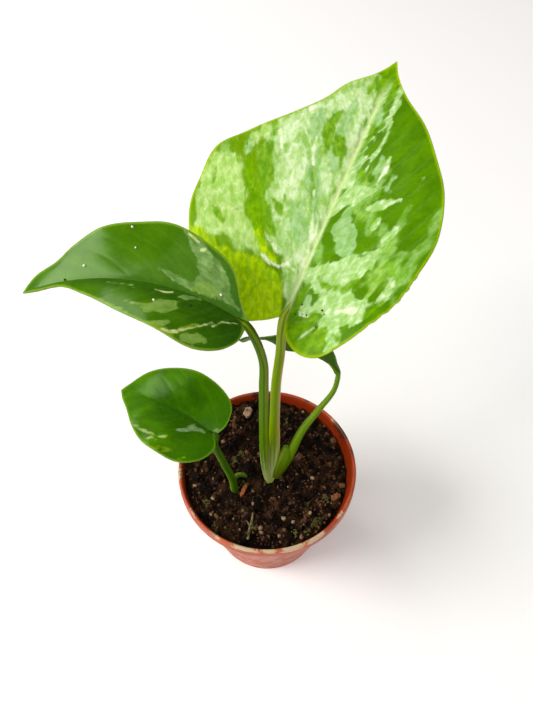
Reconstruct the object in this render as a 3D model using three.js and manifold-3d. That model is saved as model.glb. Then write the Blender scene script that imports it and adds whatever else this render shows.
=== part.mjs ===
// A young variegated swiss cheese plant in a small round nursery pot.
// Millimetres, +Z up, origin at the centre of the pot's underside; the big leaf leans away along +Y.
import * as THREE from "three";
import { mergeVertices } from "three/addons/utils/BufferGeometryUtils.js";
import Module from "manifold-3d";

const wasm = await Module();
wasm.setup();

// Driving dimensions
const clearance = 0.3;
const pot = {
  rimRadius: 30,
  height: 47,
  baseRadius: 19.5,
  wall: 0.9,
  floor: 1.2,
  lipWidth: 1.3,
  lipDepth: 4.2,
  segments: 60,
  drainHoles: 6,
  drainRadius: 2,
  drainCircle: 13,
};
// The soil stands higher on the left and at the back, as it was left after planting
const soil = {
  level: 43.9,
  slopeX: -0.07,
  slopeY: 0.045,
  lump: 0.5,
  edgeDrop: 0.7,
  rings: 9,
  segments: 48,
};
const roots = { count: 5, reach: 15, drop: 20, radius: 0.9, tipRadius: 0.4, start: 31 };

// Every blade: its thickness, the rib under it, and how its grid runs out from the midrib to the edge
const blade = {
  thickness: 0.7,
  rib: 1,
  ribWidth: 1.3,
  ribFade: 0.8,
  lobeShare: 0.3,
  sweepAlong: 1.15,
  sweepOut: 1.3,
  crowding: 1.4,
  foldEase: 3,
  leastFold: 0.15,
  stepsAlong: 60,
};

// Stalks: a hand-drawn centre line, and the radius at each of its points. A branch grows out of its stalk.
const crownStem = {
  path: [[0.2, -3.4, 27], [0.6, -3, 38], [0.9, -2.7, 45], [1.1, -2.4, 49]],
  radii: [1.5, 1.6, 2.1, 0.5],
};
const petioles = {
  petiole_left: {
    path: [
      [0.1, -3.5, 45.5], [-0.7, -2.4, 57], [-1, -1.1, 76],
      [-1, 0.2, 95], [-1.3, 1.1, 108], [-5.2, 2, 121],
    ],
    radii: [1, 1.6, 1.5, 1.4, 1.2, 1.1],
  },
  petiole_large: {
    path: [
      [1.4, -2.2, 45.5], [2.3, 0.6, 58], [2.3, 3.4, 73],
      [2.6, 6.2, 87], [3.6, 8.6, 99], [4.5, 11.3, 112.5],
    ],
    radii: [1.1, 1.8, 1.6, 1.5, 1.4, 1.3],
  },
  // Its branch is the sheath round its foot
  petiole_right: {
    path: [
      [3.2, -3, 45.5], [6.5, -0.4, 53.5], [10.6, 2.8, 65],
      [15.6, 5.3, 73.8], [20.1, 7.5, 82], [20.9, 9.1, 89.2],
    ],
    radii: [1, 1.5, 1.3, 1, 0.8, 0.8],
    branch: {
      path: [[2.6, -3.1, 46], [4.6, -1.5, 50], [6.2, 0, 55.5], [7.2, 1.2, 59.5]],
      radii: [1.1, 1.9, 1.9, 0.8],
    },
  },
  // Its branch is a young side shoot
  petiole_small: {
    path: [
      [-7, -6.5, 33], [-10.6, -7.3, 41.5], [-11.5, -5.9, 49],
      [-14, -4.4, 58], [-16.3, -2.8, 67], [-15.8, -2, 71],
    ],
    radii: [1, 1.3, 1.25, 1.2, 1.1, 1],
    branch: {
      path: [[-11, -6.6, 45], [-11, -4.6, 46.4], [-9.6, -3.4, 46.9], [-7.8, -3.4, 46.6], [-6.8, -3.7, 45.6]],
      radii: [0.9, 0.9, 0.8, 0.7, 0.5],
    },
  },
};

// Leaf blades. An outline point is [distance along the midrib, distance out from it], from joint to tip.
// rise, heading and roll are in degrees, at the joint and at the tip; heading turns from +Y towards +X.
const leaves = {
  leaf_large: {
    joint: [4.5, 11.3, 112.5],
    rise: [32, 16],
    heading: [27.5, 24.5],
    roll: [5, 5],
    twistPower: 1,
    bendPower: 1,
    fold: 12,
    curl: -10,
    halfWidth: 36,
    wave: { height: 0.7, count: 4.5 },
    grid: [32, 7],
    left: [
      [0, 1], [-3, 5.5], [-5, 12], [-2.5, 23], [5, 31], [15.5, 36.5], [28, 39.5], [40, 38],
      [48.5, 31.5], [56, 22.5], [64, 15.5], [71.5, 10.5], [77.5, 3.5], [82.5, 0],
    ],
    right: [
      [0, 1], [-4.5, 2.5], [-7.5, 8], [-6.5, 14], [-1, 19], [4, 22.5], [13.5, 28], [25, 31],
      [34, 31], [44, 28], [53, 22.5], [62.5, 15.5], [71, 7], [77, 2.5], [82.5, 0],
    ],
  },
  leaf_left: {
    joint: [-5.2, 2, 121],
    rise: [35.5, -30.5],
    heading: [-63.5, -86.5],
    roll: [15, 15],
    twistPower: 1,
    bendPower: 0.7,
    fold: 22,
    curl: -15,
    halfWidth: 19,
    wave: { height: 0.4, count: 3.5 },
    grid: [28, 5],
    left: [
      [0, 1], [0, 6], [3, 11], [8, 14], [14, 14.5], [24, 12.5],
      [34, 9.5], [44, 5], [52, 1.5], [60, 1], [65.5, 0],
    ],
    right: [
      [0, 1], [5, 4.5], [10, 10.5], [16, 13.5], [25, 16], [33, 15.5],
      [42, 13.5], [49, 9.5], [54, 6], [61, 3.5], [65.5, 0],
    ],
  },
  leaf_small: {
    joint: [-15.8, -2, 71],
    rise: [27, -21.5],
    heading: [-58.5, -67.5],
    roll: [0, 0],
    twistPower: 1,
    bendPower: 1,
    fold: 10,
    curl: -10,
    halfWidth: 15,
    wave: { height: 0.3, count: 3 },
    grid: [24, 5],
    left: [
      [0, 1], [-2, 4], [-0.5, 9.5], [4, 14], [10, 15.5],
      [17, 15], [23, 12], [29, 6.5], [33, 3], [35.5, 0],
    ],
    right: [
      [0, 1], [-0.5, 5], [1.5, 10.5], [6.5, 13.5], [12, 14.5],
      [19, 14], [25, 11.5], [30, 8], [33.5, 3], [35.5, 0],
    ],
  },
  leaf_back: {
    joint: [20.9, 9.1, 89.2],
    rise: [80, -32],
    heading: [-68.5, -77.5],
    roll: [-80, 10],
    twistPower: 6,
    bendPower: 0.6,
    fold: 5,
    curl: -5,
    halfWidth: 9,
    wave: { height: 0.3, count: 3 },
    grid: [22, 4],
    left: [[0, 0.8], [4, 1.8], [8, 5], [12, 8], [17, 7], [22, 3], [26.5, 1.2], [31, 2], [35, 0]],
    right: [[0, 0.8], [4, 1.2], [9, 3], [15, 5.5], [20, 6.8], [24.5, 6], [28.5, 3], [32, 1.5], [35, 0]],
  },
};

// Chips of bark and a twig lying in the soil: centre, size and turn about Z in degrees
const chips = {
  chip_orange: { at: [-7.8, -7.9], size: [5.4, 1.4, 1.2], turn: 66 },
  chip_pink: { at: [-6.9, 21.6], size: [4.4, 3, 1.4], turn: 62 },
  chip_right: { at: [23, -9], size: [3.8, 2.4, 1.3], turn: 20 },
  chip_brown: { at: [10.8, 4.6], size: [3.2, 2.2, 1.2], turn: 40 },
  twig: { at: [-5.4, -19.8], size: [9.5, 1, 1], turn: 80 },
};

// Finishes by piece, or by the first word of its name
const finishes = {
  pot: { color: 0xc4522d, roughness: 0.65 },
  soil: { color: 0x2a1c14, roughness: 0.95 },
  crown: { color: 0x86a24a, roughness: 0.5 },
  petiole: { color: 0x4f8420, roughness: 0.45 },
  leaf: { color: 0x3f8a1c, roughness: 0.35 },
  leaf_back: { color: 0x5f8a56, roughness: 0.5 },
  chip_orange: { color: 0x9a4a22, roughness: 0.85 },
  chip_pink: { color: 0xb98a74, roughness: 0.85 },
  chip_right: { color: 0x8f4f2c, roughness: 0.85 },
  chip_brown: { color: 0x6b4632, roughness: 0.85 },
  twig: { color: 0x7d6647, roughness: 0.85 },
};

const radians = THREE.MathUtils.degToRad;
const mix = THREE.MathUtils.lerp;

// Solids from geometry, and back
function closedMesh(geometry) {
  const bare = new THREE.BufferGeometry();
  bare.setAttribute("position", geometry.getAttribute("position"));
  bare.setIndex(geometry.getIndex());
  const merged = mergeVertices(bare, 1e-3);
  const kept = [];
  const index = merged.index.array;
  for (let i = 0; i < index.length; i += 3) {
    const [a, b, c] = [index[i], index[i + 1], index[i + 2]];
    if (a !== b && b !== c && c !== a) kept.push(a, b, c);
  }
  merged.setIndex(kept);
  return merged;
}

function solidOf(geometry) {
  const merged = closedMesh(geometry);
  return new wasm.Manifold(new wasm.Mesh({
    numProp: 3,
    vertProperties: merged.attributes.position.array,
    triVerts: new Uint32Array(merged.index.array),
  }));
}

// The solid less its cutters, without any crumb that they leave
function cutClear(solid, cutters) {
  const cut = cutters.reduce((rest, cutter) => rest.subtract(cutter), solid);
  return cut.decompose().sort((a, b) => b.volume() - a.volume())[0];
}

function geometryOf(solid) {
  const mesh = solid.getMesh();
  const positions = new Float32Array(mesh.numVert * 3);
  for (let i = 0; i < mesh.numVert; i++) {
    positions.set(mesh.vertProperties.subarray(i * mesh.numProp, i * mesh.numProp + 3), i * 3);
  }
  const geometry = new THREE.BufferGeometry();
  geometry.setAttribute("position", new THREE.BufferAttribute(positions, 3));
  geometry.setIndex(new THREE.BufferAttribute(mesh.triVerts, 1));
  geometry.computeVertexNormals();
  return geometry;
}

// A turned shape: profile points are [radius, height]
function turned(profile, segments) {
  const points = profile.map(([r, z]) => new THREE.Vector2(r, z));
  return new THREE.LatheGeometry(points, segments).rotateX(Math.PI / 2);
}

// Radius along a stalk, eased between the values given for its points
function radiusAt(radii, t) {
  const place = t * (radii.length - 1);
  const i = Math.min(Math.floor(place), radii.length - 2);
  return mix(radii[i], radii[i + 1], place - i);
}

// A round tube: a cylinder bent along a curve through the path's points
function tubeAlong({ path, radii }, { sides = 10, steps = 22, grow = 0 } = {}) {
  const curve = new THREE.CatmullRomCurve3(path.map((p) => new THREE.Vector3(...p)));
  const frames = curve.computeFrenetFrames(steps, false);
  const tube = new THREE.CylinderGeometry(1, 1, 1, sides, steps);
  const position = tube.attributes.position;
  const corner = new THREE.Vector3();
  for (let i = 0; i < position.count; i++) {
    corner.fromBufferAttribute(position, i);
    const row = Math.round((corner.y + 0.5) * steps);
    const t = row / steps;
    const r = radiusAt(radii, curve.getUtoTmapping(t)) + grow;
    const ends = grow * (row === 0 ? -1 : row === steps ? 1 : 0);
    const point = curve.getPointAt(t)
      .addScaledVector(frames.tangents[row], ends)
      .addScaledVector(frames.normals[row], corner.x * r)
      .addScaledVector(frames.binormals[row], -corner.z * r);
    position.setXYZ(i, point.x, point.y, point.z);
  }
  return solidOf(tube);
}

// A leaf's midrib bent through space: samples of point, tangent, side and normal every length/stepsAlong
function midribOf(leaf, length) {
  const step = length / blade.stepsAlong;
  const back = Math.round(blade.lobeShare * blade.stepsAlong);
  const sampleAt = (i) => {
    const share = THREE.MathUtils.clamp(i / blade.stepsAlong, -0.15, 1);
    const bend = Math.sign(share) * Math.abs(share) ** leaf.bendPower;
    const rise = radians(mix(...leaf.rise, bend));
    const heading = radians(mix(...leaf.heading, bend));
    const roll = radians(mix(...leaf.roll, Math.max(0, share) ** leaf.twistPower));
    const tangent = new THREE.Vector3(
      Math.cos(rise) * Math.sin(heading), Math.cos(rise) * Math.cos(heading), Math.sin(rise));
    const level = new THREE.Vector3(Math.cos(heading), -Math.sin(heading), 0);
    const up = level.clone().cross(tangent);
    const side = level.multiplyScalar(Math.cos(roll)).addScaledVector(up, Math.sin(roll));
    return { tangent, side, normal: side.clone().cross(tangent) };
  };
  const samples = [];
  for (let i = -back; i <= blade.stepsAlong; i++) samples.push(sampleAt(i));
  samples[back].point = new THREE.Vector3(...leaf.joint);
  const move = (from, to, way) => {
    const mean = from.tangent.clone().add(to.tangent).multiplyScalar(0.5 * step * way);
    to.point = from.point.clone().add(mean);
  };
  for (let i = back; i < samples.length - 1; i++) move(samples[i], samples[i + 1], 1);
  for (let i = back; i > 0; i--) move(samples[i], samples[i - 1], -1);
  return (along) => {
    const place = THREE.MathUtils.clamp(along / step + back, 0, samples.length - 1.001);
    const i = Math.floor(place);
    const [a, b] = [samples[i], samples[i + 1]];
    const between = (key) => a[key].clone().lerp(b[key], place - i);
    return { point: between("point"), side: between("side"), normal: between("normal") };
  };
}

// A point of the bent blade, from its flat place: along the midrib, and out (negative on the left)
function bladePoint(leaf, length, midrib, along, out) {
  const { point, side, normal } = midrib(along);
  const share = THREE.MathUtils.clamp(along / length, 0, 1);
  const reach = Math.abs(out);
  const fold = radians(leaf.fold) * Math.max(blade.leastFold, 1 - share ** blade.foldEase);
  const curl = radians(leaf.curl) / leaf.halfWidth;
  const across = (Math.sin(fold + curl * reach) - Math.sin(fold)) / curl;
  const lift = (Math.cos(fold) - Math.cos(fold + curl * reach)) / curl;
  const ripple = Math.sin(2 * Math.PI * leaf.wave.count * share + (out < 0 ? 1 : 0));
  const wave = leaf.wave.height * ripple * (reach / leaf.halfWidth) ** 2;
  return point.addScaledVector(side, Math.sign(out) * across).addScaledVector(normal, lift + wave);
}

function bladeNormal(leaf, length, midrib, along, out) {
  const h = 0.3;
  const at = (a, o) => bladePoint(leaf, length, midrib, a, o);
  const forward = at(along + h, out).sub(at(along - h, out));
  const sideways = at(along, out + h).sub(at(along, out - h));
  return sideways.cross(forward).normalize();
}

// A blade as one closed body: the same grid above and below, joined round the edge
function leafBlade(leaf, grow = 0) {
  const length = leaf.left.at(-1)[0];
  const midrib = midribOf(leaf, length);
  const outlines = [leaf.left, leaf.right].map(
    (points) => new THREE.SplineCurve(points.map(([s, w]) => new THREE.Vector2(s, w))));
  const [along, across] = leaf.grid;
  const sheet = new THREE.PlaneGeometry(2, 1, 2 * across, along);
  const flat = sheet.attributes.position;
  const upper = [];
  const lower = [];
  for (let i = 0; i < flat.count; i++) {
    const u = 0.5 + flat.getY(i);
    const x = flat.getX(i);
    const v = Math.abs(x) ** blade.crowding;
    const edge = outlines[x < 0 ? 0 : 1].getPointAt(u);
    const start = length * Math.max(0, (u - blade.lobeShare) / (1 - blade.lobeShare)) ** blade.sweepAlong;
    const s = start + (edge.x - start) * v ** blade.sweepOut;
    const w = Math.sign(x) * Math.max(0, edge.y * (1 + grow / leaf.halfWidth)) * v;
    const point = bladePoint(leaf, length, midrib, s, w);
    const normal = bladeNormal(leaf, length, midrib, s, w);
    const rib = blade.rib * (1 - blade.ribFade * THREE.MathUtils.clamp(s / length, 0, 1));
    const below = blade.thickness / 2 + rib * Math.exp(-((w / blade.ribWidth) ** 2)) + grow;
    upper.push(...point.clone().addScaledVector(normal, blade.thickness / 2 + grow).toArray());
    lower.push(...point.clone().addScaledVector(normal, -below).toArray());
  }
  const count = flat.count;
  const faces = [];
  const index = sheet.index.array;
  for (let i = 0; i < index.length; i += 3) {
    faces.push(index[i], index[i + 1], index[i + 2]);
    faces.push(count + index[i], count + index[i + 2], count + index[i + 1]);
  }
  const columns = 2 * across + 1;
  const rim = [];
  for (let i = 0; i < columns; i++) rim.push(i);
  for (let j = 1; j <= along; j++) rim.push(j * columns + columns - 1);
  for (let i = columns - 2; i >= 0; i--) rim.push(along * columns + i);
  for (let j = along - 1; j > 0; j--) rim.push(j * columns);
  rim.forEach((a, i) => {
    const b = rim[(i + 1) % rim.length];
    faces.push(a, b, count + b, a, count + b, count + a);
  });
  const geometry = new THREE.BufferGeometry();
  geometry.setAttribute("position", new THREE.Float32BufferAttribute([...upper, ...lower], 3));
  geometry.setIndex(faces);
  return solidOf(geometry);
}

// Height of the soil, with low lumps
function soilHeight(x, y) {
  const lumps = Math.sin(0.9 * x + 1.3) * Math.cos(0.8 * y - 0.4) + 0.6 * Math.sin(1.7 * x - 1.1 * y);
  return soil.level + soil.slopeX * x + soil.slopeY * y + soil.lump * lumps;
}

function innerRadius(z) {
  const top = pot.rimRadius - pot.lipWidth;
  const bottom = pot.baseRadius - pot.wall;
  return mix(bottom, top, (z - pot.floor) / (pot.height - pot.floor));
}

function potSolid() {
  const { rimRadius: R, height: H, baseRadius, wall, lipWidth, lipDepth } = pot;
  const under = H - lipDepth;
  const outer = (z) => innerRadius(z) + wall;
  const profile = [
    [0, 0], [baseRadius - 0.8, 0], [baseRadius, 0.8], [outer(under), under], [R - 0.4, under],
    [R, under + 0.4], [R, H - 0.9], [R - 0.3, H - 0.3], [R - 0.9, H], [R - 0.6 * lipWidth, H - 0.05],
    [R - lipWidth, H - 0.7], [innerRadius(H - 2), H - 2], [innerRadius(pot.floor), pot.floor], [0, pot.floor],
  ];
  let solid = solidOf(turned(profile, pot.segments));
  for (let i = 0; i < pot.drainHoles; i++) {
    const angle = (2 * Math.PI * i) / pot.drainHoles;
    const drill = new THREE.CylinderGeometry(pot.drainRadius, pot.drainRadius, 4 * pot.floor, 14)
      .rotateX(Math.PI / 2)
      .translate(pot.drainCircle * Math.cos(angle), pot.drainCircle * Math.sin(angle), pot.floor / 2);
    solid = solid.subtract(solidOf(drill));
  }
  return solid;
}

// The bed fills the pot, and its top is drawn up or down to the soil's height, a little lower at the wall
function soilBlock() {
  const reachAt = (z) => innerRadius(z) - clearance - 0.1;
  const bottom = pot.floor + clearance;
  const reach = reachAt(soil.level);
  const profile = [[0, bottom], [reachAt(bottom), bottom]];
  for (let i = 0; i <= soil.rings; i++) profile.push([reach * (1 - i / soil.rings), soil.level]);
  const shape = turned(profile, soil.segments);
  const position = shape.attributes.position;
  const place = new THREE.Vector3();
  for (let i = 0; i < position.count; i++) {
    place.fromBufferAttribute(position, i);
    if (place.z < soil.level - 0.1) continue;
    const atWall = Math.hypot(place.x, place.y) > reach - 0.1;
    const height = soilHeight(place.x, place.y) - (atWall ? soil.edgeDrop : 0);
    const spread = reachAt(height) / reach;
    position.setXYZ(i, place.x * spread, place.y * spread, height);
  }
  return solidOf(shape);
}

// The short buried stem with its roots
function crownSolid(grow = 0) {
  let solid = tubeAlong(crownStem, { sides: 12, steps: 14, grow });
  const [x, y] = crownStem.path[0];
  for (let i = 0; i < roots.count; i++) {
    const angle = 2 * Math.PI * (i / roots.count) + 0.4;
    const reach = roots.reach * (0.75 + 0.25 * Math.sin(2.3 * i));
    const at = (out, down) => [
      x + reach * out * Math.cos(angle + 0.4 * out),
      y + reach * out * Math.sin(angle + 0.4 * out),
      roots.start - roots.drop * down,
    ];
    const root = {
      path: [at(0, 0), at(0.45, 0.2), at(0.85, 0.55), at(1, 1)],
      radii: [roots.radius, roots.tipRadius],
    };
    solid = solid.add(tubeAlong(root, { sides: 6, steps: 9, grow }));
  }
  return solid;
}

function petioleSolid(petiole, grow = 0) {
  const main = tubeAlong(petiole, { grow });
  return petiole.branch ? main.add(tubeAlong(petiole.branch, { sides: 8, steps: 12, grow })) : main;
}

// A flake of bark with uneven corners, or a twig, half sunk in the soil
function chipSolid({ at: [x, y], size: [length, width, height], turn }, grow = 0) {
  const [a, b] = [length / 2 + grow, width / 2 + grow];
  const corners = [[-1, -0.5], [-0.6, -1], [0.7, -0.8], [1, 0.2], [0.5, 1], [-0.8, 0.7]];
  const outline = new THREE.Shape(corners.map(([px, py]) => new THREE.Vector2(px * a, py * b)));
  const deep = height + 2 * grow;
  const flake = new THREE.ExtrudeGeometry(outline, { depth: deep, bevelEnabled: false })
    .translate(0, 0, -deep / 2)
    .rotateZ(radians(turn))
    .translate(x, y, soilHeight(x, y) + 0.15 * height);
  return solidOf(flake);
}

// Every piece: blades and chips are whole, stalks are cut clear of blades and of each other, soil of all
const solids = { pot: potSolid() };
for (const [name, leaf] of Object.entries(leaves)) solids[name] = leafBlade(leaf);
for (const [name, chip] of Object.entries(chips)) solids[name] = chipSolid(chip);

const roomForBlades = Object.values(leaves).map((leaf) => leafBlade(leaf, clearance));
const roomForStalks = [];
for (const [name, petiole] of Object.entries(petioles)) {
  solids[name] = cutClear(petioleSolid(petiole), [...roomForBlades, ...roomForStalks]);
  roomForStalks.push(petioleSolid(petiole, clearance));
}
solids.crown = cutClear(crownSolid(), roomForStalks);

const roomForChips = Object.values(chips).map((chip) => chipSolid(chip, clearance));
solids.soil = cutClear(soilBlock(), [crownSolid(clearance), ...roomForStalks, ...roomForChips]);

const group = new THREE.Group();
for (const [name, solid] of Object.entries(solids)) {
  const { color, roughness } = finishes[name] ?? finishes[name.split("_")[0]];
  const material = new THREE.MeshStandardMaterial({ color, roughness, metalness: 0 });
  const mesh = new THREE.Mesh(geometryOf(solid), material);
  mesh.name = name;
  group.add(mesh);
}

export default group;
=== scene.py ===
import math
import random

import bmesh
import bpy
import numpy as np
from mathutils import Euler, Matrix, Vector, noise


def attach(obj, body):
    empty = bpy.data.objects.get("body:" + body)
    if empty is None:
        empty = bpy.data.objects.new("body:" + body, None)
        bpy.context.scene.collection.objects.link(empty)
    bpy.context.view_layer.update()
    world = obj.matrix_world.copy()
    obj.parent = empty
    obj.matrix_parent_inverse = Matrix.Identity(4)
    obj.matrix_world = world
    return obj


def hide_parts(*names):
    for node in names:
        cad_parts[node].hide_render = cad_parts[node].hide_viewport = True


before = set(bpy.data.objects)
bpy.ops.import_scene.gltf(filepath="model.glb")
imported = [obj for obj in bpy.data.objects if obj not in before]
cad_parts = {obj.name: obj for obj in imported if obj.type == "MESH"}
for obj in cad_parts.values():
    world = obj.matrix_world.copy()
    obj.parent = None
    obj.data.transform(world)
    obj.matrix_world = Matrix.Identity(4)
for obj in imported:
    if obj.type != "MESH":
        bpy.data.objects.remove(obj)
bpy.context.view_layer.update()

# Lengths below are in millimetres, and are written to the scene in metres
mm = 0.001
scene = bpy.context.scene


# Small helpers for colours, nodes and meshes

def linear(hexColour):
    values = [int(hexColour[i:i + 2], 16) / 255 for i in (1, 3, 5)]
    return [v / 12.92 if v <= 0.04045 else ((v + 0.055) / 1.055) ** 2.4 for v in values] + [1.0]


def isSocket(value):
    return isinstance(value, bpy.types.NodeSocket)


def addNode(kind, inputs=None, tree=None, **settings):
    # a node in the tree that is given, or else in that of the sockets which it is linked to
    inputs = inputs or {}
    tree = tree or next(value.id_data for value in inputs.values() if isSocket(value))
    node = tree.nodes.new("ShaderNode" + kind)
    for name, value in settings.items():
        setattr(node, name, value)
    for socket, value in inputs.items():
        if isSocket(value):
            tree.links.new(value, node.inputs[socket])
        else:
            node.inputs[socket].default_value = value
    return node


def startMaterial(name, roughness, ior=1.45, specular=0.5):
    material = bpy.data.materials.new(name)
    material.use_nodes = True
    shader = material.node_tree.nodes["Principled BSDF"]
    for socket, value in (("Roughness", roughness), ("IOR", ior), ("Specular IOR Level", specular)):
        shader.inputs[socket].default_value = value
    return material, material.node_tree, shader


def finishMaterial(material, colour, height, depth, strength=1.0):
    # gives the shader its colour, and a relief of depth mm that follows height
    tree = material.node_tree
    shader = tree.nodes["Principled BSDF"]
    bump = addNode("Bump", {"Strength": strength, "Distance": depth * mm, "Height": height})
    tree.links.new(colour, shader.inputs["Base Color"])
    tree.links.new(bump.outputs[0], shader.inputs["Normal"])
    return material


def letLightThrough(shader, colour, amount):
    tree = shader.id_data
    glow = addNode("BsdfTranslucent", {"Color": colour})
    both = addNode("MixShader", {0: amount, 1: shader.outputs[0], 2: glow.outputs[0]})
    tree.links.new(both.outputs[0], tree.nodes["Material Output"].inputs["Surface"])


def mixColour(amount, under, over):
    # colours are hex strings or sockets, and the amount is a number or a socket
    inputs = {0: amount}
    for slot, colour in ((6, under), (7, over)):
        inputs[slot] = linear(colour) if isinstance(colour, str) else colour
    return addNode("Mix", inputs, data_type="RGBA").outputs[2]


def mixNumbers(amount, under, over):
    return addNode("Mix", {0: amount, 2: under, 3: over}, data_type="FLOAT").outputs[0]


def softStep(value, low, high, start=0.0, stop=1.0):
    ends = {"Value": value, "From Min": low, "From Max": high, "To Min": start, "To Max": stop}
    return addNode("MapRange", ends, interpolation_type="SMOOTHSTEP").outputs[0]


def calculate(operation, a, b=0.0):
    return addNode("Math", {0: a, 1: b}, operation=operation).outputs[0]


def times(a, b):
    return calculate("MULTIPLY", a, b)


def grainOf(coordinates, size, detail, stretch=(1, 1, 1), swirl=0.0):
    # noise with lumps about size mm across on coordinates in mm, made longer by stretch and curled by swirl
    scale = [1 / (size * s) for s in stretch]
    placed = addNode("Mapping", {"Vector": coordinates, "Scale": scale}).outputs[0]
    inputs = {"Vector": placed, "Scale": 1.0, "Detail": detail, "Distortion": swirl}
    return addNode("TexNoise", inputs).outputs[0]


def objectMillimetres(tree):
    place = addNode("TexCoord", tree=tree).outputs["Object"]
    return addNode("VectorMath", {0: place, 3: 1 / mm}, operation="SCALE").outputs[0]


def field(tree, name, output="Fac"):
    return addNode("Attribute", tree=tree, attribute_name=name).outputs[output]


def mix(a, b, t):
    return a + (b - a) * t


def clamp01(t):
    return np.clip(t, 0, 1)


def bell(x):
    return np.exp(-x ** 2)


def lookUp(x, at, rows):
    # the rows, which belong to the stations at, read off at each x
    return np.stack([np.interp(x, at, values) for values in rows.T], 1)


def positionsOf(bm, first=0):
    return np.array([v.co for v in bm.verts][first:])


def moveTo(bm, places, first=0):
    bm.verts.ensure_lookup_table()
    for k, place in enumerate(places):
        bm.verts[first + k].co = place


def setField(bm, name, values, first=0):
    # what materials read by name: a value or a vector for each point from first on, or one number for all
    kind = bm.verts.layers.float_vector if np.ndim(values) == 2 else bm.verts.layers.float
    layer = kind.get(name) or kind.new(name)
    bm.verts.ensure_lookup_table()
    if np.ndim(values) == 0:
        values = [values] * (len(bm.verts) - first)
    for k, value in enumerate(values):
        bm.verts[first + k][layer] = value


def borderOf(bm):
    return [e for e in bm.edges if e.is_boundary]


def vertsIn(made):
    return [g for g in made["geom"] if isinstance(g, bmesh.types.BMVert)]


def meshFrom(name, bm):
    mesh = bpy.data.meshes.new(name)
    bm.to_mesh(mesh)
    bm.free()
    return mesh


def addObject(name, data):
    thing = bpy.data.objects.new(name, data)
    scene.collection.objects.link(thing)
    return thing


def makePiece(name, bm, materials, replaced=(), smooth=True):
    mesh = meshFrom(name, bm)
    mesh.transform(Matrix.Scale(mm, 4))
    for material in materials:
        mesh.materials.append(material)
    mesh.polygons.foreach_set("use_smooth", [smooth] * len(mesh.polygons))
    piece = addObject(name, mesh)
    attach(piece, "root")
    if replaced:
        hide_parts(*replaced)
    return piece


# Camera at the photograph's viewing angle, and its light: a soft window at the left with a narrow pane beside
# it, and the pale wall behind the viewer, which brightens the leaves without showing in their shine

view = {
    "focalPixels": 700, "imageHeight": 706, "sensor": 36, "near": 0.01,
    "at": (-0.23, -106.65, 260.7), "lookDown": 54.35,
}
# these are in metres and watts
studio = {
    "window": {"azimuth": -97, "rise": 37, "away": 1.3, "size": (0.85, 0.62), "roll": 22, "watts": 17,
               "colour": "#fffefb"},
    "pane": {"azimuth": -40, "rise": 50, "away": 1.3, "size": (0.26, 0.45), "roll": 0, "watts": 2.4,
             "colour": "#fffefb"},
    "wall": {"azimuth": 170, "rise": 52, "away": 1.6, "size": (2.6, 2.0), "roll": 0, "watts": 19.5,
             "colour": "#fbfbfa"},
    "room": "#f7f6f4", "roomStrength": 0.24, "roomSeen": 0.88, "floorColour": "#fbf9f8", "floorRadius": 1.5,
}


def placeCamera():
    camera = bpy.data.cameras.new("camera")
    camera.sensor_width = view["sensor"]
    camera.lens = view["focalPixels"] * view["sensor"] / view["imageHeight"]
    camera.clip_start = view["near"]
    holder = addObject("camera", camera)
    holder.location = Vector(view["at"]) * mm
    holder.rotation_euler = (math.radians(90 - view["lookDown"]), 0, 0)
    scene.camera = holder
    scene.view_settings.view_transform = "Standard"


def hangLight(name):
    panel = studio[name]
    lamp = bpy.data.lights.new(name, "AREA")
    lamp.shape = "RECTANGLE"
    lamp.size, lamp.size_y = panel["size"]
    lamp.energy = panel["watts"]
    lamp.color = linear(panel["colour"])[:3]
    turn, rise, roll = (math.radians(panel[key]) for key in ("azimuth", "rise", "roll"))
    towards = Vector((math.sin(turn) * math.cos(rise), math.cos(turn) * math.cos(rise), math.sin(rise)))
    light = addObject(name, lamp)
    light.location = towards * panel["away"]
    facing = towards.to_track_quat("Z", "Y").to_matrix().to_4x4()
    light.rotation_euler = (facing @ Matrix.Rotation(roll, 4, "Z")).to_euler()


def paintRoom():
    world = bpy.data.worlds.new("room")
    world.use_nodes = True
    tree = world.node_tree
    background = tree.nodes["Background"]
    background.inputs["Color"].default_value = linear(studio["room"])
    # seen directly the room is pale like the floor, but as light it is dim, so the lamps shape the leaves
    seen = addNode("LightPath", tree=tree).outputs["Is Camera Ray"]
    strength = softStep(seen, 0, 1, studio["roomStrength"], studio["roomSeen"])
    tree.links.new(strength, background.inputs["Strength"])
    scene.world = world


def layFloor():
    bm = bmesh.new()
    bmesh.ops.create_circle(bm, cap_ends=True, segments=96, radius=studio["floorRadius"])
    mesh = meshFrom("floor", bm)
    material, _, shader = startMaterial("painted board", 0.7)  # matt, so it shows only soft shadows
    shader.inputs["Base Color"].default_value = linear(studio["floorColour"])
    mesh.materials.append(material)
    board = addObject("floor", mesh)


placeCamera()
for name in ("window", "pane", "wall"):
    hangLight(name)
paintRoom()
layFloor()
print("the studio is set")


# Pot: thin terracotta-coloured polypropylene, injection moulded. The mould leaves it satin smooth, handling
# makes it dusty, and hard water leaves lime on the lip.

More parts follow.
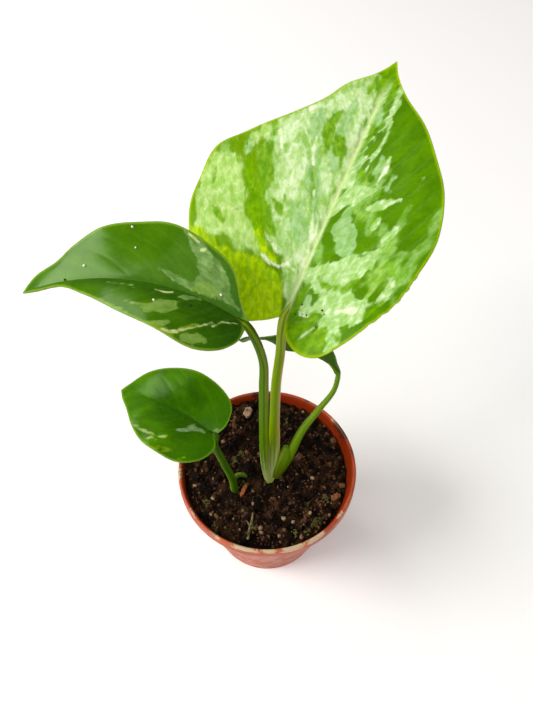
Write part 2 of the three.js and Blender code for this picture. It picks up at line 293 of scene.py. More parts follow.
pot = {
    "rimRadius": 30, "height": 47, "baseRadius": 19.5, "wall": 0.9, "floor": 1.2, "lipWidth": 1.3,
    "lipDepth": 4.2, "drainHoles": 6, "drainRadius": 2, "drainCircle": 13, "ringRadius": 16.5,
    # inside is the inner wall's colour, painted darker than the plastic as painted shade inside the pot
    "segments": 192, "plastic": "#b04018", "deep": "#962f0c", "inside": "#8c2a02", "dust": "#a8764e",
    "lime": "#c0aa84", "stain": "#34190e",
    # deposits on the lip: from and to in degrees round from +X, width in mm, strength
    "limeSpots": [
        (-112, -96, 0.6, 0.8), (-93, -85, 0.5, 0.9), (-81, -68, 0.8, 1), (-65, -52, 0.6, 0.9),
        (-128, -120, 0.4, 0.6), (178, 192, 0.5, 0.6), (-150, -141, 0.5, 0.5), (-40, -33, 0.6, 0.6),
        (140, 150, 0.6, 0.5), (28, 40, 0.5, 0.6),
    ],
    "stainSpots": [
        (92, 101, 0.9, 0.9), (20, 36, 1, 0.9), (58, 63, 0.6, 0.6), (-128, -123, 0.5, 0.5), (8, 13, 0.5, 0.6),
    ],
}


def innerRadius(z):
    inside = (pot["baseRadius"] - pot["wall"], pot["rimRadius"] - pot["lipWidth"])
    return mix(*inside, (z - pot["floor"]) / (pot["height"] - pot["floor"]))


def outerRadius(z):
    return innerRadius(z) + pot["wall"]


def potProfile():
    # from the ring round the drain holes, up the outside, over the rolled lip and down the inside
    top, rim, base, ring = pot["height"], pot["rimRadius"], pot["floor"], pot["ringRadius"]
    under, inRim = top - pot["lipDepth"], rim - pot["lipWidth"]
    points = [(ring, 0), (18.5, 0), (19.1, 0.15), (19.45, 0.6), (outerRadius(1.4), 1.4)]
    points += [(outerRadius(z), z) for z in np.linspace(4, under - 1.2, 14)]
    points += [(outerRadius(under - 0.4), under - 0.4), (outerRadius(under) + 0.15, under)]
    points += [(rim - 0.5, under + 0.02), (rim - 0.2, under + 0.12), (rim - 0.04, under + 0.4)]
    points += [(rim, z) for z in np.linspace(under + 0.9, top - 1.3, 5)]
    for inward, below in ((0.04, 0.75), (0.14, 0.42), (0.32, 0.16), (0.58, 0)):
        points.append((rim - inward, top - below))
    for inward, below in ((0.5, 0.03), (0.26, 0.14), (0.1, 0.38), (0, 0.8)):
        points.append((inRim + inward, top - below))
    points += [(innerRadius(z), z) for z in np.linspace(top - 2, base + 0.9, 14)]
    return points + [(innerRadius(base) - 0.25, base + 0.25), (innerRadius(base) - 0.9, base), (ring, base)]


def piercedDisc(bm, z):
    # closes the ring at this height with a face that has the drain holes in it, and gives their edges
    border = [e for e in borderOf(bm) if all(abs(v.co.z - z) < 1e-4 for v in e.verts)]
    holes = []
    for i in range(pot["drainHoles"]):
        turn = 2 * math.pi * i / pot["drainHoles"]
        middle = Vector((math.cos(turn), math.sin(turn), 0)) * pot["drainCircle"]
        at = Matrix.Translation((middle.x, middle.y, z))
        made = bmesh.ops.create_circle(bm, segments=32, radius=pot["drainRadius"], matrix=at)
        holes.append(list({e for v in made["verts"] for e in v.link_edges}))
    bmesh.ops.triangle_fill(bm, use_beauty=True, use_dissolve=False, edges=border + sum(holes, []))
    rims = [{v for e in hole for v in e.verts} for hole in holes]
    plugs = [f for f in bm.faces if any(set(f.verts) <= rim for rim in rims)]
    bmesh.ops.delete(bm, geom=plugs, context="FACES_ONLY")
    return holes


def potBody():
    bm = bmesh.new()
    rail = [bm.verts.new((r, 0, z)) for r, z in potProfile()]
    edges = [bm.edges.new(pair) for pair in zip(rail, rail[1:])]
    bmesh.ops.spin(bm, geom=rail + edges, cent=(0, 0, 0), axis=(0, 0, 1), angle=2 * math.pi,
                   steps=pot["segments"], use_merge=True)
    bmesh.ops.remove_doubles(bm, verts=bm.verts, dist=1e-4)
    below, above = piercedDisc(bm, 0), piercedDisc(bm, pot["floor"])
    for lower, upper in zip(below, above):
        bmesh.ops.bridge_loops(bm, edges=lower + upper)
    bmesh.ops.recalc_face_normals(bm, faces=bm.faces)
    return bm


def spotsRound(places, spots):
    # how strongly each place on the lip lies in one of the spots, which fade at their ends
    angle = np.degrees(np.arctan2(places[:, 1], places[:, 0]))
    amount = np.zeros(len(places))
    for start, stop, width, strength in spots:
        off = np.abs((angle - (start + stop) / 2 + 180) % 360 - 180) / ((stop - start) / 2)
        depth = (pot["height"] - places[:, 2]) / (width * 2.2)
        amount = np.maximum(amount, strength * clamp01(1.6 - off) * clamp01(1.5 - depth))
    return amount


def potPlastic():
    material, tree, shader = startMaterial("moulded polypropylene", 0.45, 1.49)
    place, outside = objectMillimetres(tree), field(tree, "outside")
    speckle = grainOf(place, 0.9, 5)
    colour = mixColour(softStep(grainOf(place, 9, 4), 0.35, 0.7), pot["plastic"], pot["deep"])
    # the inner wall is painted darker: painted shade inside the pot
    colour = mixColour(softStep(outside, 0.3, 0), colour, pot["inside"])
    dust = times(outside, softStep(grainOf(place, 3.5, 6), 0.34, 0.7))
    colour = mixColour(times(dust, 0.36), colour, pot["dust"])
    for name in ("lime", "stain"):
        amount = calculate("ADD", field(tree, name), softStep(speckle, 0.38, 0.6, 0, 0.35))
        colour = mixColour(softStep(amount, 0.55, 0.95, 0, 0.85), colour, pot[name])
    tree.links.new(softStep(dust, 0, 1, 0.4, 0.72), shader.inputs["Roughness"])
    return finishMaterial(material, colour, speckle, 0.03)


potMesh = potBody()
potPlaces = positionsOf(potMesh)
across = np.hypot(potPlaces[:, 0], potPlaces[:, 1])
setField(potMesh, "outside", clamp01((across - innerRadius(potPlaces[:, 2])) / pot["wall"]))
for name in ("lime", "stain"):
    setField(potMesh, name, spotsRound(potPlaces, pot[name + "Spots"]))
makePiece("pot_shell", potMesh, [potPlastic()], ["pot"])
print("the pot is made")


# Soil: peat based potting mix, damp and nearly black, with crumbs, splinters of bark, fibres, grit and moss

soil = {
    "level": 43.9, "slopeX": -0.07, "slopeY": 0.045, "lump": 0.5, "edgeDrop": 0.7, "edgeShare": 0.1,
    "sunk": 0.3, "hills": 0.6, "hollows": 0.75, "crumb": 0.3, "gap": 0.15, "rings": (36, 24, 12, 1.6),
    "grid": 170, "seed": 41, "crumbs": 2200, "clods": 420, "grit": 34, "splinters": 110, "fibres": 26,
    "mossCushions": 15,
    "mossSpots": [
        (-20.1, -11.6), (16.8, -18.2), (13.7, -21), (-17, -20.7), (-10.9, 3.7), (7, 18.3), (13, -12),
    ],
    # larger grains: x, y, size, and a kind that runs from 0 cream over tan and olive to 1 brown
    "grains": [
        (-24.2, -6, 0.75, 0.05), (-18, -10.7, 0.8, 0.12), (-18.5, -16.2, 0.8, 0.05), (5.4, -16.9, 0.95, 0.02),
        (8.6, -17.8, 0.75, 0.4), (14.1, -15.1, 0.8, 0.1), (11.2, -22.7, 0.85, 0.38), (15.4, -2.1, 0.85, 0.14),
        (4.7, -2.5, 0.6, 0.4), (-6.7, 3.6, 0.8, 0.3), (-10.9, 3, 0.7, 0.66), (-11.7, 1.3, 0.75, 0.85),
        (-15.2, 9.8, 0.9, 0.45), (-9.2, 15.9, 0.6, 0.4), (-12.9, 16.5, 0.8, 0.9), (-12.8, 13.2, 0.85, 0.88),
        (-2.1, -20.4, 0.85, 0.42), (-1.9, -21.8, 0.8, 0.4), (3.9, -22.5, 0.75, 0.36),
        (17.2, -11.3, 0.7, 0.85), (7.6, -11.6, 0.8, 0.95), (-24.2, -0.5, 0.8, 0.9), (-16, -12.7, 0.7, 0.85),
        (-11, -17.6, 0.6, 0.7), (-4.7, -12, 0.7, 0.42), (-6.5, -22.7, 0.7, 0.7), (12.9, 23.1, 0.7, 0.45),
        (7, 18.3, 0.7, 0.68), (10.1, -1.2, 0.6, 0.42), (-20.9, 2.5, 0.6, 0.6), (20.6, 3.6, 0.7, 0.9),
        (-8, -14.6, 0.6, 0.65), (1, -14, 0.55, 0.9), (11.8, -18.8, 0.55, 0.1), (-13.6, -20.4, 0.6, 0.66),
        (20.5, -15.4, 0.6, 0.35),
    ],
}
soilReach = innerRadius(soil["level"])


def soilHeight(x, y):
    # low lumps on a slope, as the solid soil has them
    lumps = math.sin(0.9 * x + 1.3) * math.cos(0.8 * y - 0.4) + 0.6 * math.sin(1.7 * x - 1.1 * y)
    return soil["level"] + soil["slopeX"] * x + soil["slopeY"] * y + soil["lump"] * lumps


def soilSurface(x, y):
    # crumbly hills and hollows on the low lumps, dropping a little at the wall
    hills = noise.fractal((x * 0.16, y * 0.16, 3.7), 0.9, 2.1, 5)
    hollows = noise.turbulence((x * 0.42, y * 0.42, 8.1), 3, True)
    crumb = noise.noise((x * 1.5, y * 1.5, 1.3))
    edge = max(0, (math.hypot(x, y) / soilReach - 1 + soil["edgeShare"]) / soil["edgeShare"])
    rough = soil["hills"] * hills - soil["hollows"] * hollows + soil["crumb"] * crumb
    return soilHeight(x, y) - soil["sunk"] + rough - soil["edgeDrop"] * edge


def onSurface(x, y, above=0.0):
    return Vector((x, y, soilSurface(x, y) + above))


def soilBed():
    bm = bmesh.new()
    bmesh.ops.create_grid(bm, x_segments=soil["grid"], y_segments=soil["grid"], size=1)
    reach = soilReach - soil["gap"]
    for v in bm.verts:  # the square becomes a disc
        x, y = v.co.x, v.co.y
        x, y = reach * x * math.sqrt(1 - y * y / 2), reach * y * math.sqrt(1 - x * x / 2)
        z = soilSurface(x, y)
        shrink = (innerRadius(z) - soil["gap"]) / reach
        v.co = (x * shrink, y * shrink, z)
    for z in soil["rings"]:  # down the wall to the base
        for v in vertsIn(bmesh.ops.extrude_edge_only(bm, edges=borderOf(bm))):
            out = Vector((v.co.x, v.co.y)).normalized() * (innerRadius(z) - soil["gap"])
            v.co = (out.x, out.y, z)
    bmesh.ops.holes_fill(bm, edges=borderOf(bm))
    bmesh.ops.recalc_face_normals(bm, faces=bm.faces)
    return bm


def peat(name, dark, brown, tan, roughness, relief):
    # moss peat: fibrous, soaked and dull, so nearly all its light comes back from dry brown specks
    material, tree, _ = startMaterial(name, roughness, specular=0.1)
    place = objectMillimetres(tree)
    fine = grainOf(place, 0.7, 6)
    soakedAndShaded = softStep(grainOf(place, 7, 3), 0.5, 0.62, 0, 0.8)
    colour = mixColour(softStep(grainOf(place, 3.2, 5), 0.42, 0.7), dark, brown)
    colour = mixColour(softStep(fine, 0.6, 0.78), colour, tan)
    colour = mixColour(softStep(field(tree, "tint"), 0.6, 1.0), colour, tan)
    # near-black patches: partly soaked peat and partly painted shade, as dark as shadowed hollows
    colour = mixColour(soakedAndShaded, colour, "#060302")
    return finishMaterial(material, colour, fine, relief, 0.8)


def dryStuff(name, light, dark, roughness, grain=1.2, relief=0.12):
    # bark, fibre or moss: a dull surface that mottles between two colours and differs from bit to bit
    material, tree, _ = startMaterial(name, roughness, specular=0.25)
    streak = grainOf(objectMillimetres(tree), grain, 5)
    colour = mixColour(softStep(streak, 0.3, 0.7), dark, light)
    colour = mixColour(times(field(tree, "tint"), 0.55), colour, dark)
    return finishMaterial(material, colour, streak, relief, 0.7)


def weatheredGrit():
    # grains of limestone, pumice and clay, some with algae on them: dull, and each of one colour
    material, tree, _ = startMaterial("weathered grit", 0.8, specular=0.25)
    kind = field(tree, "tint")
    colour = linear("#94835e")
    for low, tint in ((0.2, "#8a6c52"), (0.5, "#5f5c2a"), (0.78, "#4c2f1d")):
        colour = mixColour(softStep(kind, low, low + 0.06), colour, tint)
    pits = grainOf(objectMillimetres(tree), 0.5, 5)
    colour = mixColour(softStep(pits, 0.45, 0.72, 0, 0.7), colour, "#33281a")
    return finishMaterial(material, colour, pits, 0.12, 0.7)


def scatter(count, draw, placeOf, batch=50):
    # many small solids in one mesh, made in batches because one long bmesh is slow to add to
    whole = bmesh.new()
    whole.verts.layers.float.new("tint")
    for start in range(0, count, batch):
        part = bmesh.new()
        for i in range(start, min(count, start + batch)):
            first = len(part.verts)
            tint = draw(part, placeOf(i))
            setField(part, "tint", random.random() if tint is None else tint, first)
        held = meshFrom("batch", part)
        whole.from_mesh(held)
        bpy.data.meshes.remove(held)
    return whole


def onSoil(margin):
    turn, away = random.uniform(0, 2 * math.pi), math.sqrt(random.random())
    r = away * (soilReach - margin)
    return onSurface(r * math.cos(turn), r * math.sin(turn))


def turned(tilt):
    turn = (random.uniform(-tilt, tilt), random.uniform(-tilt, tilt), random.uniform(0, 6.3))
    return Euler(turn).to_matrix().to_4x4()


def lumpAt(bm, place, size, flat, rough, fineness=1):
    # an uneven crumb: a turned, squashed icosphere with its surface pushed in and out
    stretch = Matrix.Diagonal((size, size * random.uniform(0.65, 1), size * flat, 1))
    at = Matrix.Translation(place) @ turned(3) @ stretch
    made = bmesh.ops.create_icosphere(bm, subdivisions=fineness, radius=1, matrix=at)
    for v in made["verts"]:
        v.co = place + (v.co - place) * (1 + rough * noise.noise(v.co * (1.2 / size)))


def drawCrumb(bm, place, least=0.2, spread=0.5, lift=(-0.2, 0.5), flat=0.7, fineness=1):
    size = least + spread * random.random() ** 2
    lumpAt(bm, place + Vector((0, 0, size * random.uniform(*lift))), size, flat, 0.9, fineness)


def drawClod(bm, place):
    drawCrumb(bm, place, 0.5, 0.8, (-0.55, 0.1), 0.6, 2)


def drawGrain(bm, spot):
    x, y, size, kind = spot
    lumpAt(bm, onSurface(x, y, size * 0.3), size, 0.8, 0.45, 2)
    return kind


def grainSpot(i):
    if i < len(soil["grains"]):
        return soil["grains"][i]
    place = onSoil(2)
    return place.x, place.y, random.uniform(0.18, 0.5), random.random()


def drawSplinter(bm, place):
    size = (random.uniform(0.7, 2.4), random.uniform(0.3, 0.9), random.uniform(0.14, 0.3), 1)
    middle = place + Vector((0, 0, 0.45))
    at = Matrix.Translation(middle) @ turned(0.7) @ Matrix.Diagonal(size)
    made = bmesh.ops.create_cube(bm, size=1, matrix=at)
    edges = list({e for v in made["verts"] for e in v.link_edges})
    cut = bmesh.ops.bevel(bm, geom=edges, offset=0.07, segments=1, affect="EDGES", profile=0.5, material=-1)
    for v in cut["verts"]:
        v.co = middle + (v.co - middle) * random.uniform(0.82, 1.12)


def drawMoss(bm, place):
    # a low cushion of tiny shoots
    for _ in range(random.randint(9, 20)):
        off = Vector((random.gauss(0, 0.7), random.gauss(0, 0.7), random.uniform(0.1, 0.4)))
        lumpAt(bm, place + off, random.uniform(0.25, 0.65), 0.6, 0.8)


def mossPlace(i):
    return onSoil(2.5) if i >= len(soil["mossSpots"]) else onSurface(*soil["mossSpots"][i])


random.seed(soil["seed"])
dampPeat = peat("damp peat", "#100804", "#382212", "#66482f", 0.85, 0.35)
makePiece("soil_bed", soilBed(), [dampPeat], ["soil"])
# each loose part of the mix: how many, how one is drawn and where, its material, and whether it is rounded
looseSoil = {
    "crumbs": (soil["crumbs"], drawCrumb, lambda i: onSoil(1),
               peat("peat crumb", "#170c06", "#402716", "#6a4930", 0.88, 0.25), False),
    "clods": (soil["clods"], drawClod, lambda i: onSoil(2),
              peat("peat clod", "#150b06", "#442b1a", "#6c4a30", 0.88, 0.3), True),
    "grains": (soil["grit"] + len(soil["grains"]), drawGrain, grainSpot, weatheredGrit(), True),
    "splinters": (soil["splinters"], drawSplinter, lambda i: onSoil(2),
                  dryStuff("bark fines", "#54361f", "#22120a", 0.82, 0.8), False),
    "moss": (soil["mossCushions"], drawMoss, mossPlace,
             dryStuff("living moss", "#6f6c34", "#3c3a18", 0.9, 0.5, 0.1), False),
}
for name, (count, draw, placeOf, material, smooth) in looseSoil.items():
    makePiece("soil_" + name, scatter(count, draw, placeOf), [material], smooth=smooth)
print("the soil is made")


# Tubes: stalks, roots and fibres are sheets rolled round a given centre line

def evenSteps(line, steps, across):
    # the line again in even steps of the length that its first across values make, and that length so far
    run = np.concatenate([[0], np.cumsum(np.linalg.norm(np.diff(line[:, :across], axis=0), axis=1))])
    even = np.linspace(0, run[-1], steps)
    return lookUp(even, run, line), even


def smoothPath(points, steps):
    # a centripetal spline through [x, y, z, radius], in even steps of length
    p = np.array(points, float)
    p = np.vstack([2 * p[0] - p[1], p, 2 * p[-1] - p[-2]])
    pieces = []
    for i in range(1, len(p) - 2):
        four = p[i - 1:i + 3]
        gaps = np.sqrt(np.linalg.norm(np.diff(four[:, :3], axis=0), axis=1))
        t = np.concatenate([[0], np.cumsum(gaps)])
        x = np.linspace(t[1], t[2], 40, endpoint=False)[:, None]
        a = [(four[k] * (t[k + 1] - x) + four[k + 1] * (x - t[k])) / gaps[k] for k in range(3)]
        b = [(a[k] * (t[k + 2] - x) + a[k + 1] * (x - t[k])) / (t[k + 2] - t[k]) for k in range(2)]
        pieces.append((b[0] * (t[2] - x) + b[1] * (x - t[1])) / gaps[1])
    return evenSteps(np.vstack(pieces + [p[-2]]), steps, 3)


def framesAlong(line):
    # two directions across the tube that don't spin as it goes: the first starts towards +X
    ahead = np.gradient(line, axis=0)
    ahead /= np.linalg.norm(ahead, axis=1)[:, None]
    side = np.array([1.0, 0, 0]) if abs(ahead[0][0]) < 0.9 else np.array([0, 1.0, 0])
    sides = []
    for t in ahead:
        side = side - t * side.dot(t)
        side = side / np.linalg.norm(side)
        sides.append(side)
    return np.array(sides), np.cross(ahead, sides)


def rollTube(bm, points, sides, steps, shape=None):
    # one closed tube with round ends, with the fields wrap: (across, across, along) in mm, and share: 0 to 1
    line, run = smoothPath(points, steps)
    right, back = framesAlong(line[:, :3])
    first = len(bm.verts)
    bmesh.ops.create_grid(bm, x_segments=sides, y_segments=steps - 1, size=1)
    flat = positionsOf(bm, first)
    angle = math.pi * (1 + flat[:, 0])
    row = np.rint((flat[:, 1] + 1) / 2 * (steps - 1)).astype(int)
    along, thick = run[row], line[row, 3]
    fromEnd = np.minimum(row, steps - 1 - row)
    radius = thick * np.sqrt(1 - clamp01(1 - fromEnd / 3) ** 2)
    if shape:
        radius = radius * shape(angle, along)
    cos, sin = np.cos(angle), np.sin(angle)
    out = cos[:, None] * right[row] + sin[:, None] * back[row]
    moveTo(bm, line[row, :3] + out * radius[:, None], first)
    setField(bm, "wrap", np.stack([cos * thick, sin * thick, along], 1), first)
    setField(bm, "share", along / run[-1], first)
    return angle, along, first


def closeSeams(bm):
    bmesh.ops.remove_doubles(bm, verts=bm.verts, dist=1e-3)
    bmesh.ops.dissolve_degenerate(bm, edges=bm.edges, dist=1e-4)
    bmesh.ops.recalc_face_normals(bm, faces=bm.faces)
    return bm


# Stalks and crown: living stem with a thin waxy skin, so it has a satin shine, and variegated stripes.
# A path is [x, y, z, radius], and a stripe is (middle, half its width, colour), in degrees round.

crown = {
    "path": [[0.2, -3.4, 27, 1.5], [0.6, -3.2, 38, 1.6], [0.9, -3, 44, 1.5], [1.1, -2.4, 48, 0.4]],
    "roots": {"count": 5, "reach": 15, "drop": 20, "radius": 0.9, "tipRadius": 0.4, "start": 31},
    "skin": {"foot": "#c8c690", "skin": "#aab25c", "top": "#8fa03c", "stripes": []},
}
stalks = {
    "petiole_left": {
        "path": [[0.6, -3.6, 42.8, 1.2], [0.1, -3.2, 46.5, 1.4], [-0.7, -2.4, 57, 1.6], [-1, -1.1, 76, 1.5],
                 [-1, 0.2, 95, 1.4], [-1.3, 1.1, 108, 1.2], [-5.2, 2, 121, 1.1]],
        "foot": "#b2c074", "skin": "#4a6a00", "top": "#325200",
        "stripes": [(-58, 22, "#667600"), (-122, 20, "#486a00"), (-90, 9, "#385400"), (95, 40, "#2c4a00")],
    },
    "petiole_large": {
        "path": [[1.5, -3.2, 42.8, 1.2], [1.9, -2, 47, 1.4], [2.3, 0.6, 58, 1.8], [2.3, 3.4, 73, 1.6],
                 [2.6, 6.2, 87, 1.5], [3.6, 8.6, 99, 1.4], [4.5, 11.3, 112.5, 1.3]],
        "foot": "#bcc884", "skin": "#6c8600", "top": "#a2b03a",
        "stripes": [(180, 50, "#7c9600"), (-38, 20, "#aa8650"), (-6, 28, "#b4bc74"), (-90, 12, "#5c7800")],
    },
    "petiole_right": {
        "path": [[3.2, -3, 44, 1], [6.9, -0.4, 53.5, 1.5], [10.8, 2.8, 65, 1.3], [15.6, 5.3, 73.8, 1],
                 [20.1, 7.5, 82, 0.8], [20.9, 9.1, 89.2, 0.72]],
        "foot": "#4c5804", "skin": "#5e7e02", "top": "#547800",
        "stripes": [(-140, 22, "#78981c"), (-60, 30, "#507400"), (40, 40, "#3c6000")],
        "branch": [[2.4, -3.2, 44.5, 1.2], [4.1, -1.9, 49.5, 2], [5.6, -0.4, 55, 2.2], [6.6, 0.8, 59.3, 1.2]],
    },
    "petiole_small": {
        "path": [[-7, -6.5, 33, 1], [-10.6, -7.3, 41.5, 1.3], [-11.5, -5.9, 49, 1.25], [-14, -4.4, 58, 1.2],
                 [-16.3, -2.8, 67, 1.1], [-15.8, -2, 71, 1]],
        "foot": "#52701a", "skin": "#3c5e04", "top": "#345600",
        "stripes": [(-150, 30, "#6c8a2c"), (-60, 24, "#2c4a04")],
        "branch": [[-11, -6.6, 45, 0.9], [-11, -4.6, 46.4, 0.9], [-9.6, -3.4, 46.9, 0.8],
                   [-7.8, -3.4, 46.6, 0.7], [-6.8, -3.7, 45.6, 0.5]],
    },
}


def stalkSkin(name, stalk):
    material, tree, shader = startMaterial("waxy stalk " + name, 0.36, 1.43, 0.1)
    streak = grainOf(field(tree, "wrap", "Vector"), 0.5, 4, (1, 1, 12))
    share = field(tree, "share")
    colour = mixColour(softStep(share, 0.02, 0.3), stalk["foot"], stalk["skin"])
    colour = mixColour(softStep(share, 0.6, 1), colour, stalk["top"])
    aboveFoot = softStep(share, 0.02, 0.2, 0.3, 1)
    for k, (_, _, tint) in enumerate(stalk["stripes"]):
        edge = calculate("ADD", field(tree, f"stripe{k}"), softStep(streak, 0.3, 0.7, -0.35, 0.35))
        cover = times(softStep(edge, -0.15, 0.4, 0, 0.85), aboveFoot)
        colour = mixColour(cover, colour, tint)
    shader.inputs["Subsurface Weight"].default_value = 0.15
    shader.inputs["Subsurface Radius"].default_value = (0.6, 1.0, 0.2)
    shader.inputs["Subsurface Scale"].default_value = 0.8 * mm
    return finishMaterial(material, colour, streak, 0.03)


def stalkBody(stalk, beyond):
    # beyond are points under the blade, along which the stalk runs on and thins out as the midrib
    bm = bmesh.new()
    for part in ("path", "branch"):
        if part not in stalk:
            continue
        points, steps = (stalk["path"] + beyond, 130) if part == "path" else (stalk["branch"], 40)
        angle, run, first = rollTube(bm, points, 40, steps)
        for k, (middle, half, _) in enumerate(stalk["stripes"]):
            off = np.abs((np.degrees(angle) - middle + 180) % 360 - 180)
            setField(bm, f"stripe{k}", 1 - off / half, first)
        if part == "branch":  # sheaths and side shoots mostly keep the colour of the foot
            setField(bm, "share", 0.22 * run / run[-1], first)
    return closeSeams(bm)


def crownBody():
    bm = bmesh.new()
    rollTube(bm, crown["path"], 36, 60)
    roots = crown["roots"]
    x, y = crown["path"][0][:2]
    for i in range(roots["count"]):
        turn = 2 * math.pi * i / roots["count"] + 0.4
        reach = roots["reach"] * (0.75 + 0.25 * math.sin(2.3 * i))
        line = []
        for out, down in ((0, 0), (0.45, 0.2), (0.85, 0.55), (1, 1)):
            bend = turn + 0.4 * out
            radius = mix(roots["radius"], roots["tipRadius"], out)
            line.append([x + reach * out * math.cos(bend), y + reach * out * math.sin(bend),
                         roots["start"] - roots["drop"] * down, radius])
        rollTube(bm, line, 16, 50)
    return closeSeams(bm)


# Leaf blades: thin glossy sheets on a curved midrib, as the solid blades are, with finer edges and veins

blade = {
    "stepsAlong": 60, "leastFold": 0.15, "normalStep": 0.4, "sweepAlong": 1.15, "evenShare": 0.04,
    "crowding": 1.4, "thickness": 0.42, "top": 0.22,
    "rib": 0.9, "ribWidth": 1.2, "ribFade": 0.8, "ribStart": 6, "groove": 0.1, "grooveWidth": 0.8,
    "veinDepth": 0.05, "veinWidth": 0.32, "veinBow": 0.033, "veinLean": 2.1, "veinOffset": {-1: -0.6, 1: 0.9},
    "puff": 0.05, "grainLean": 2.2, "edgeFade": 4, "tipFade": 12, "swell": 0.11,
}
usualLeaf = {"twistPower": 1, "bendPower": 1, "lobeShare": 0.3, "sweepOut": 1.3, "uneven": 0.3, "quilted": 1}


def midribOf(leaf):
    # stations along the midrib: distance, place, and the directions out to the side and up from the blade
    steps, behind = blade["stepsAlong"], int(0.3 * blade["stepsAlong"])
    index = np.arange(-behind, steps + 1)
    share = np.clip(index / steps, -0.15, 1)
    bend = np.sign(share) * np.abs(share) ** leaf["bendPower"]
    rise, heading = (np.radians(mix(*leaf[key], bend)) for key in ("rise", "heading"))
    roll = np.radians(mix(*leaf["roll"], np.maximum(0, share) ** leaf["twistPower"]))
    ahead = np.stack([np.cos(rise) * np.sin(heading), np.cos(rise) * np.cos(heading), np.sin(rise)], 1)
    level = np.stack([np.cos(heading), -np.sin(heading), 0 * heading], 1)
    up = np.cross(level, ahead)
    side = level * np.cos(roll)[:, None] + up * np.sin(roll)[:, None]
    step = leaf["length"] / steps
    place = np.vstack([[0, 0, 0], np.cumsum(0.5 * step * (ahead[1:] + ahead[:-1]), axis=0)])
    return index * step, place - place[behind] + np.array(leaf["joint"]), side, np.cross(side, ahead)


def plannedLeaf(own):
    # a leaf's own values over the usual ones, with its length and midrib worked out
    leaf = {**usualLeaf, **own}
    leaf["length"] = leaf["left"][-1][0]
    leaf["midrib"] = midribOf(leaf)
    return leaf


def bladePoint(leaf, s, w):
    # the place that is s mm along the midrib and w mm out from it
    at, *lines = leaf["midrib"]
    middle, out, up = (lookUp(s, at, line) for line in lines)
    share = clamp01(s / leaf["length"])
    reach = np.abs(w)
    fold = math.radians(leaf["fold"]) * np.maximum(blade["leastFold"], 1 - share ** 3)
    turn = math.radians(leaf["curl"]) / leaf["halfWidth"]
    across = (np.sin(fold + turn * reach) - np.sin(fold)) / turn
    lift = (np.cos(fold) - np.cos(fold + turn * reach)) / turn
    height, count = leaf["wave"]
    lift = lift + height * np.sin(2 * math.pi * count * share + (w < 0)) * (reach / leaf["halfWidth"]) ** 2
    return middle + out * (np.sign(w) * across)[:, None] + up * lift[:, None]


def bladeNormal(leaf, s, w):
    # wide steps round off the fold at the midrib, so that nothing crosses over in it
    step = blade["normalStep"]
    alongS = bladePoint(leaf, s + step, w) - bladePoint(leaf, s - step, w)
    alongW = bladePoint(leaf, s, w + step) - bladePoint(leaf, s, w - step)
    normal = np.cross(alongW, alongS)
    return normal / np.linalg.norm(normal, axis=1)[:, None]


def evenOutline(points, count=500):
    # a plain Catmull-Rom spline through [along, out], in even steps of length
    p = np.array(points, float)
    p = np.vstack([p[0], p, p[-1]])
    t = np.linspace(0, 1, 60, endpoint=False)[:, None]
    rows = []
    for i in range(1, len(p) - 2):
        a, b, c, d = p[i - 1:i + 3]
        va, vb = (c - a) / 2, (d - b) / 2
        cubic, square = 2 * b - 2 * c + va + vb, 3 * c - 3 * b - 2 * va - vb
        rows.append(cubic * t ** 3 + square * t ** 2 + va * t + b)
    return evenSteps(np.vstack(rows + [p[-1]]), count, 2)[0]


def strokeDepth(s, w, strokes):
    # how deep each place lies inside the nearest brush stroke, in mm
    depth = np.full(s.shape, -4.0)
    for stroke in strokes:
        for (s0, w0, h0), (s1, w1, h1) in zip(stroke, stroke[1:]):
            ds, dw = s1 - s0, w1 - w0
            t = clamp01(((s - s0) * ds + (w - w0) * dw) / (ds * ds + dw * dw))
            depth = np.maximum(depth, mix(h0, h1, t) - np.hypot(s - s0 - t * ds, w - w0 - t * dw))
    return depth


def veinsAt(leaf, s, w):
    # how near each place is to a vein, and how high the blade puffs up between two of them
    bow = blade["veinBow"] * 38 / leaf["halfWidth"]
    source = (s - bow * w * w) / (1 + blade["veinLean"] * np.abs(w) / leaf["length"])  # on the midrib
    veins, puffs = np.zeros(len(s)), np.zeros(len(s))
    for side, offset in blade["veinOffset"].items():
        own = (np.sign(w) == side) | (w == 0)
        starts = np.array(leaf["veins"]) + offset
        near = bell((source[:, None] - starts[None, :]) / blade["veinWidth"] / 1.2).max(axis=1)
        between = np.interp(source, starts, np.arange(len(starts)))
        veins = np.where(own, near, veins)
        puffs = np.where(own, np.abs(np.sin(math.pi * between)), puffs)
    return veins, puffs


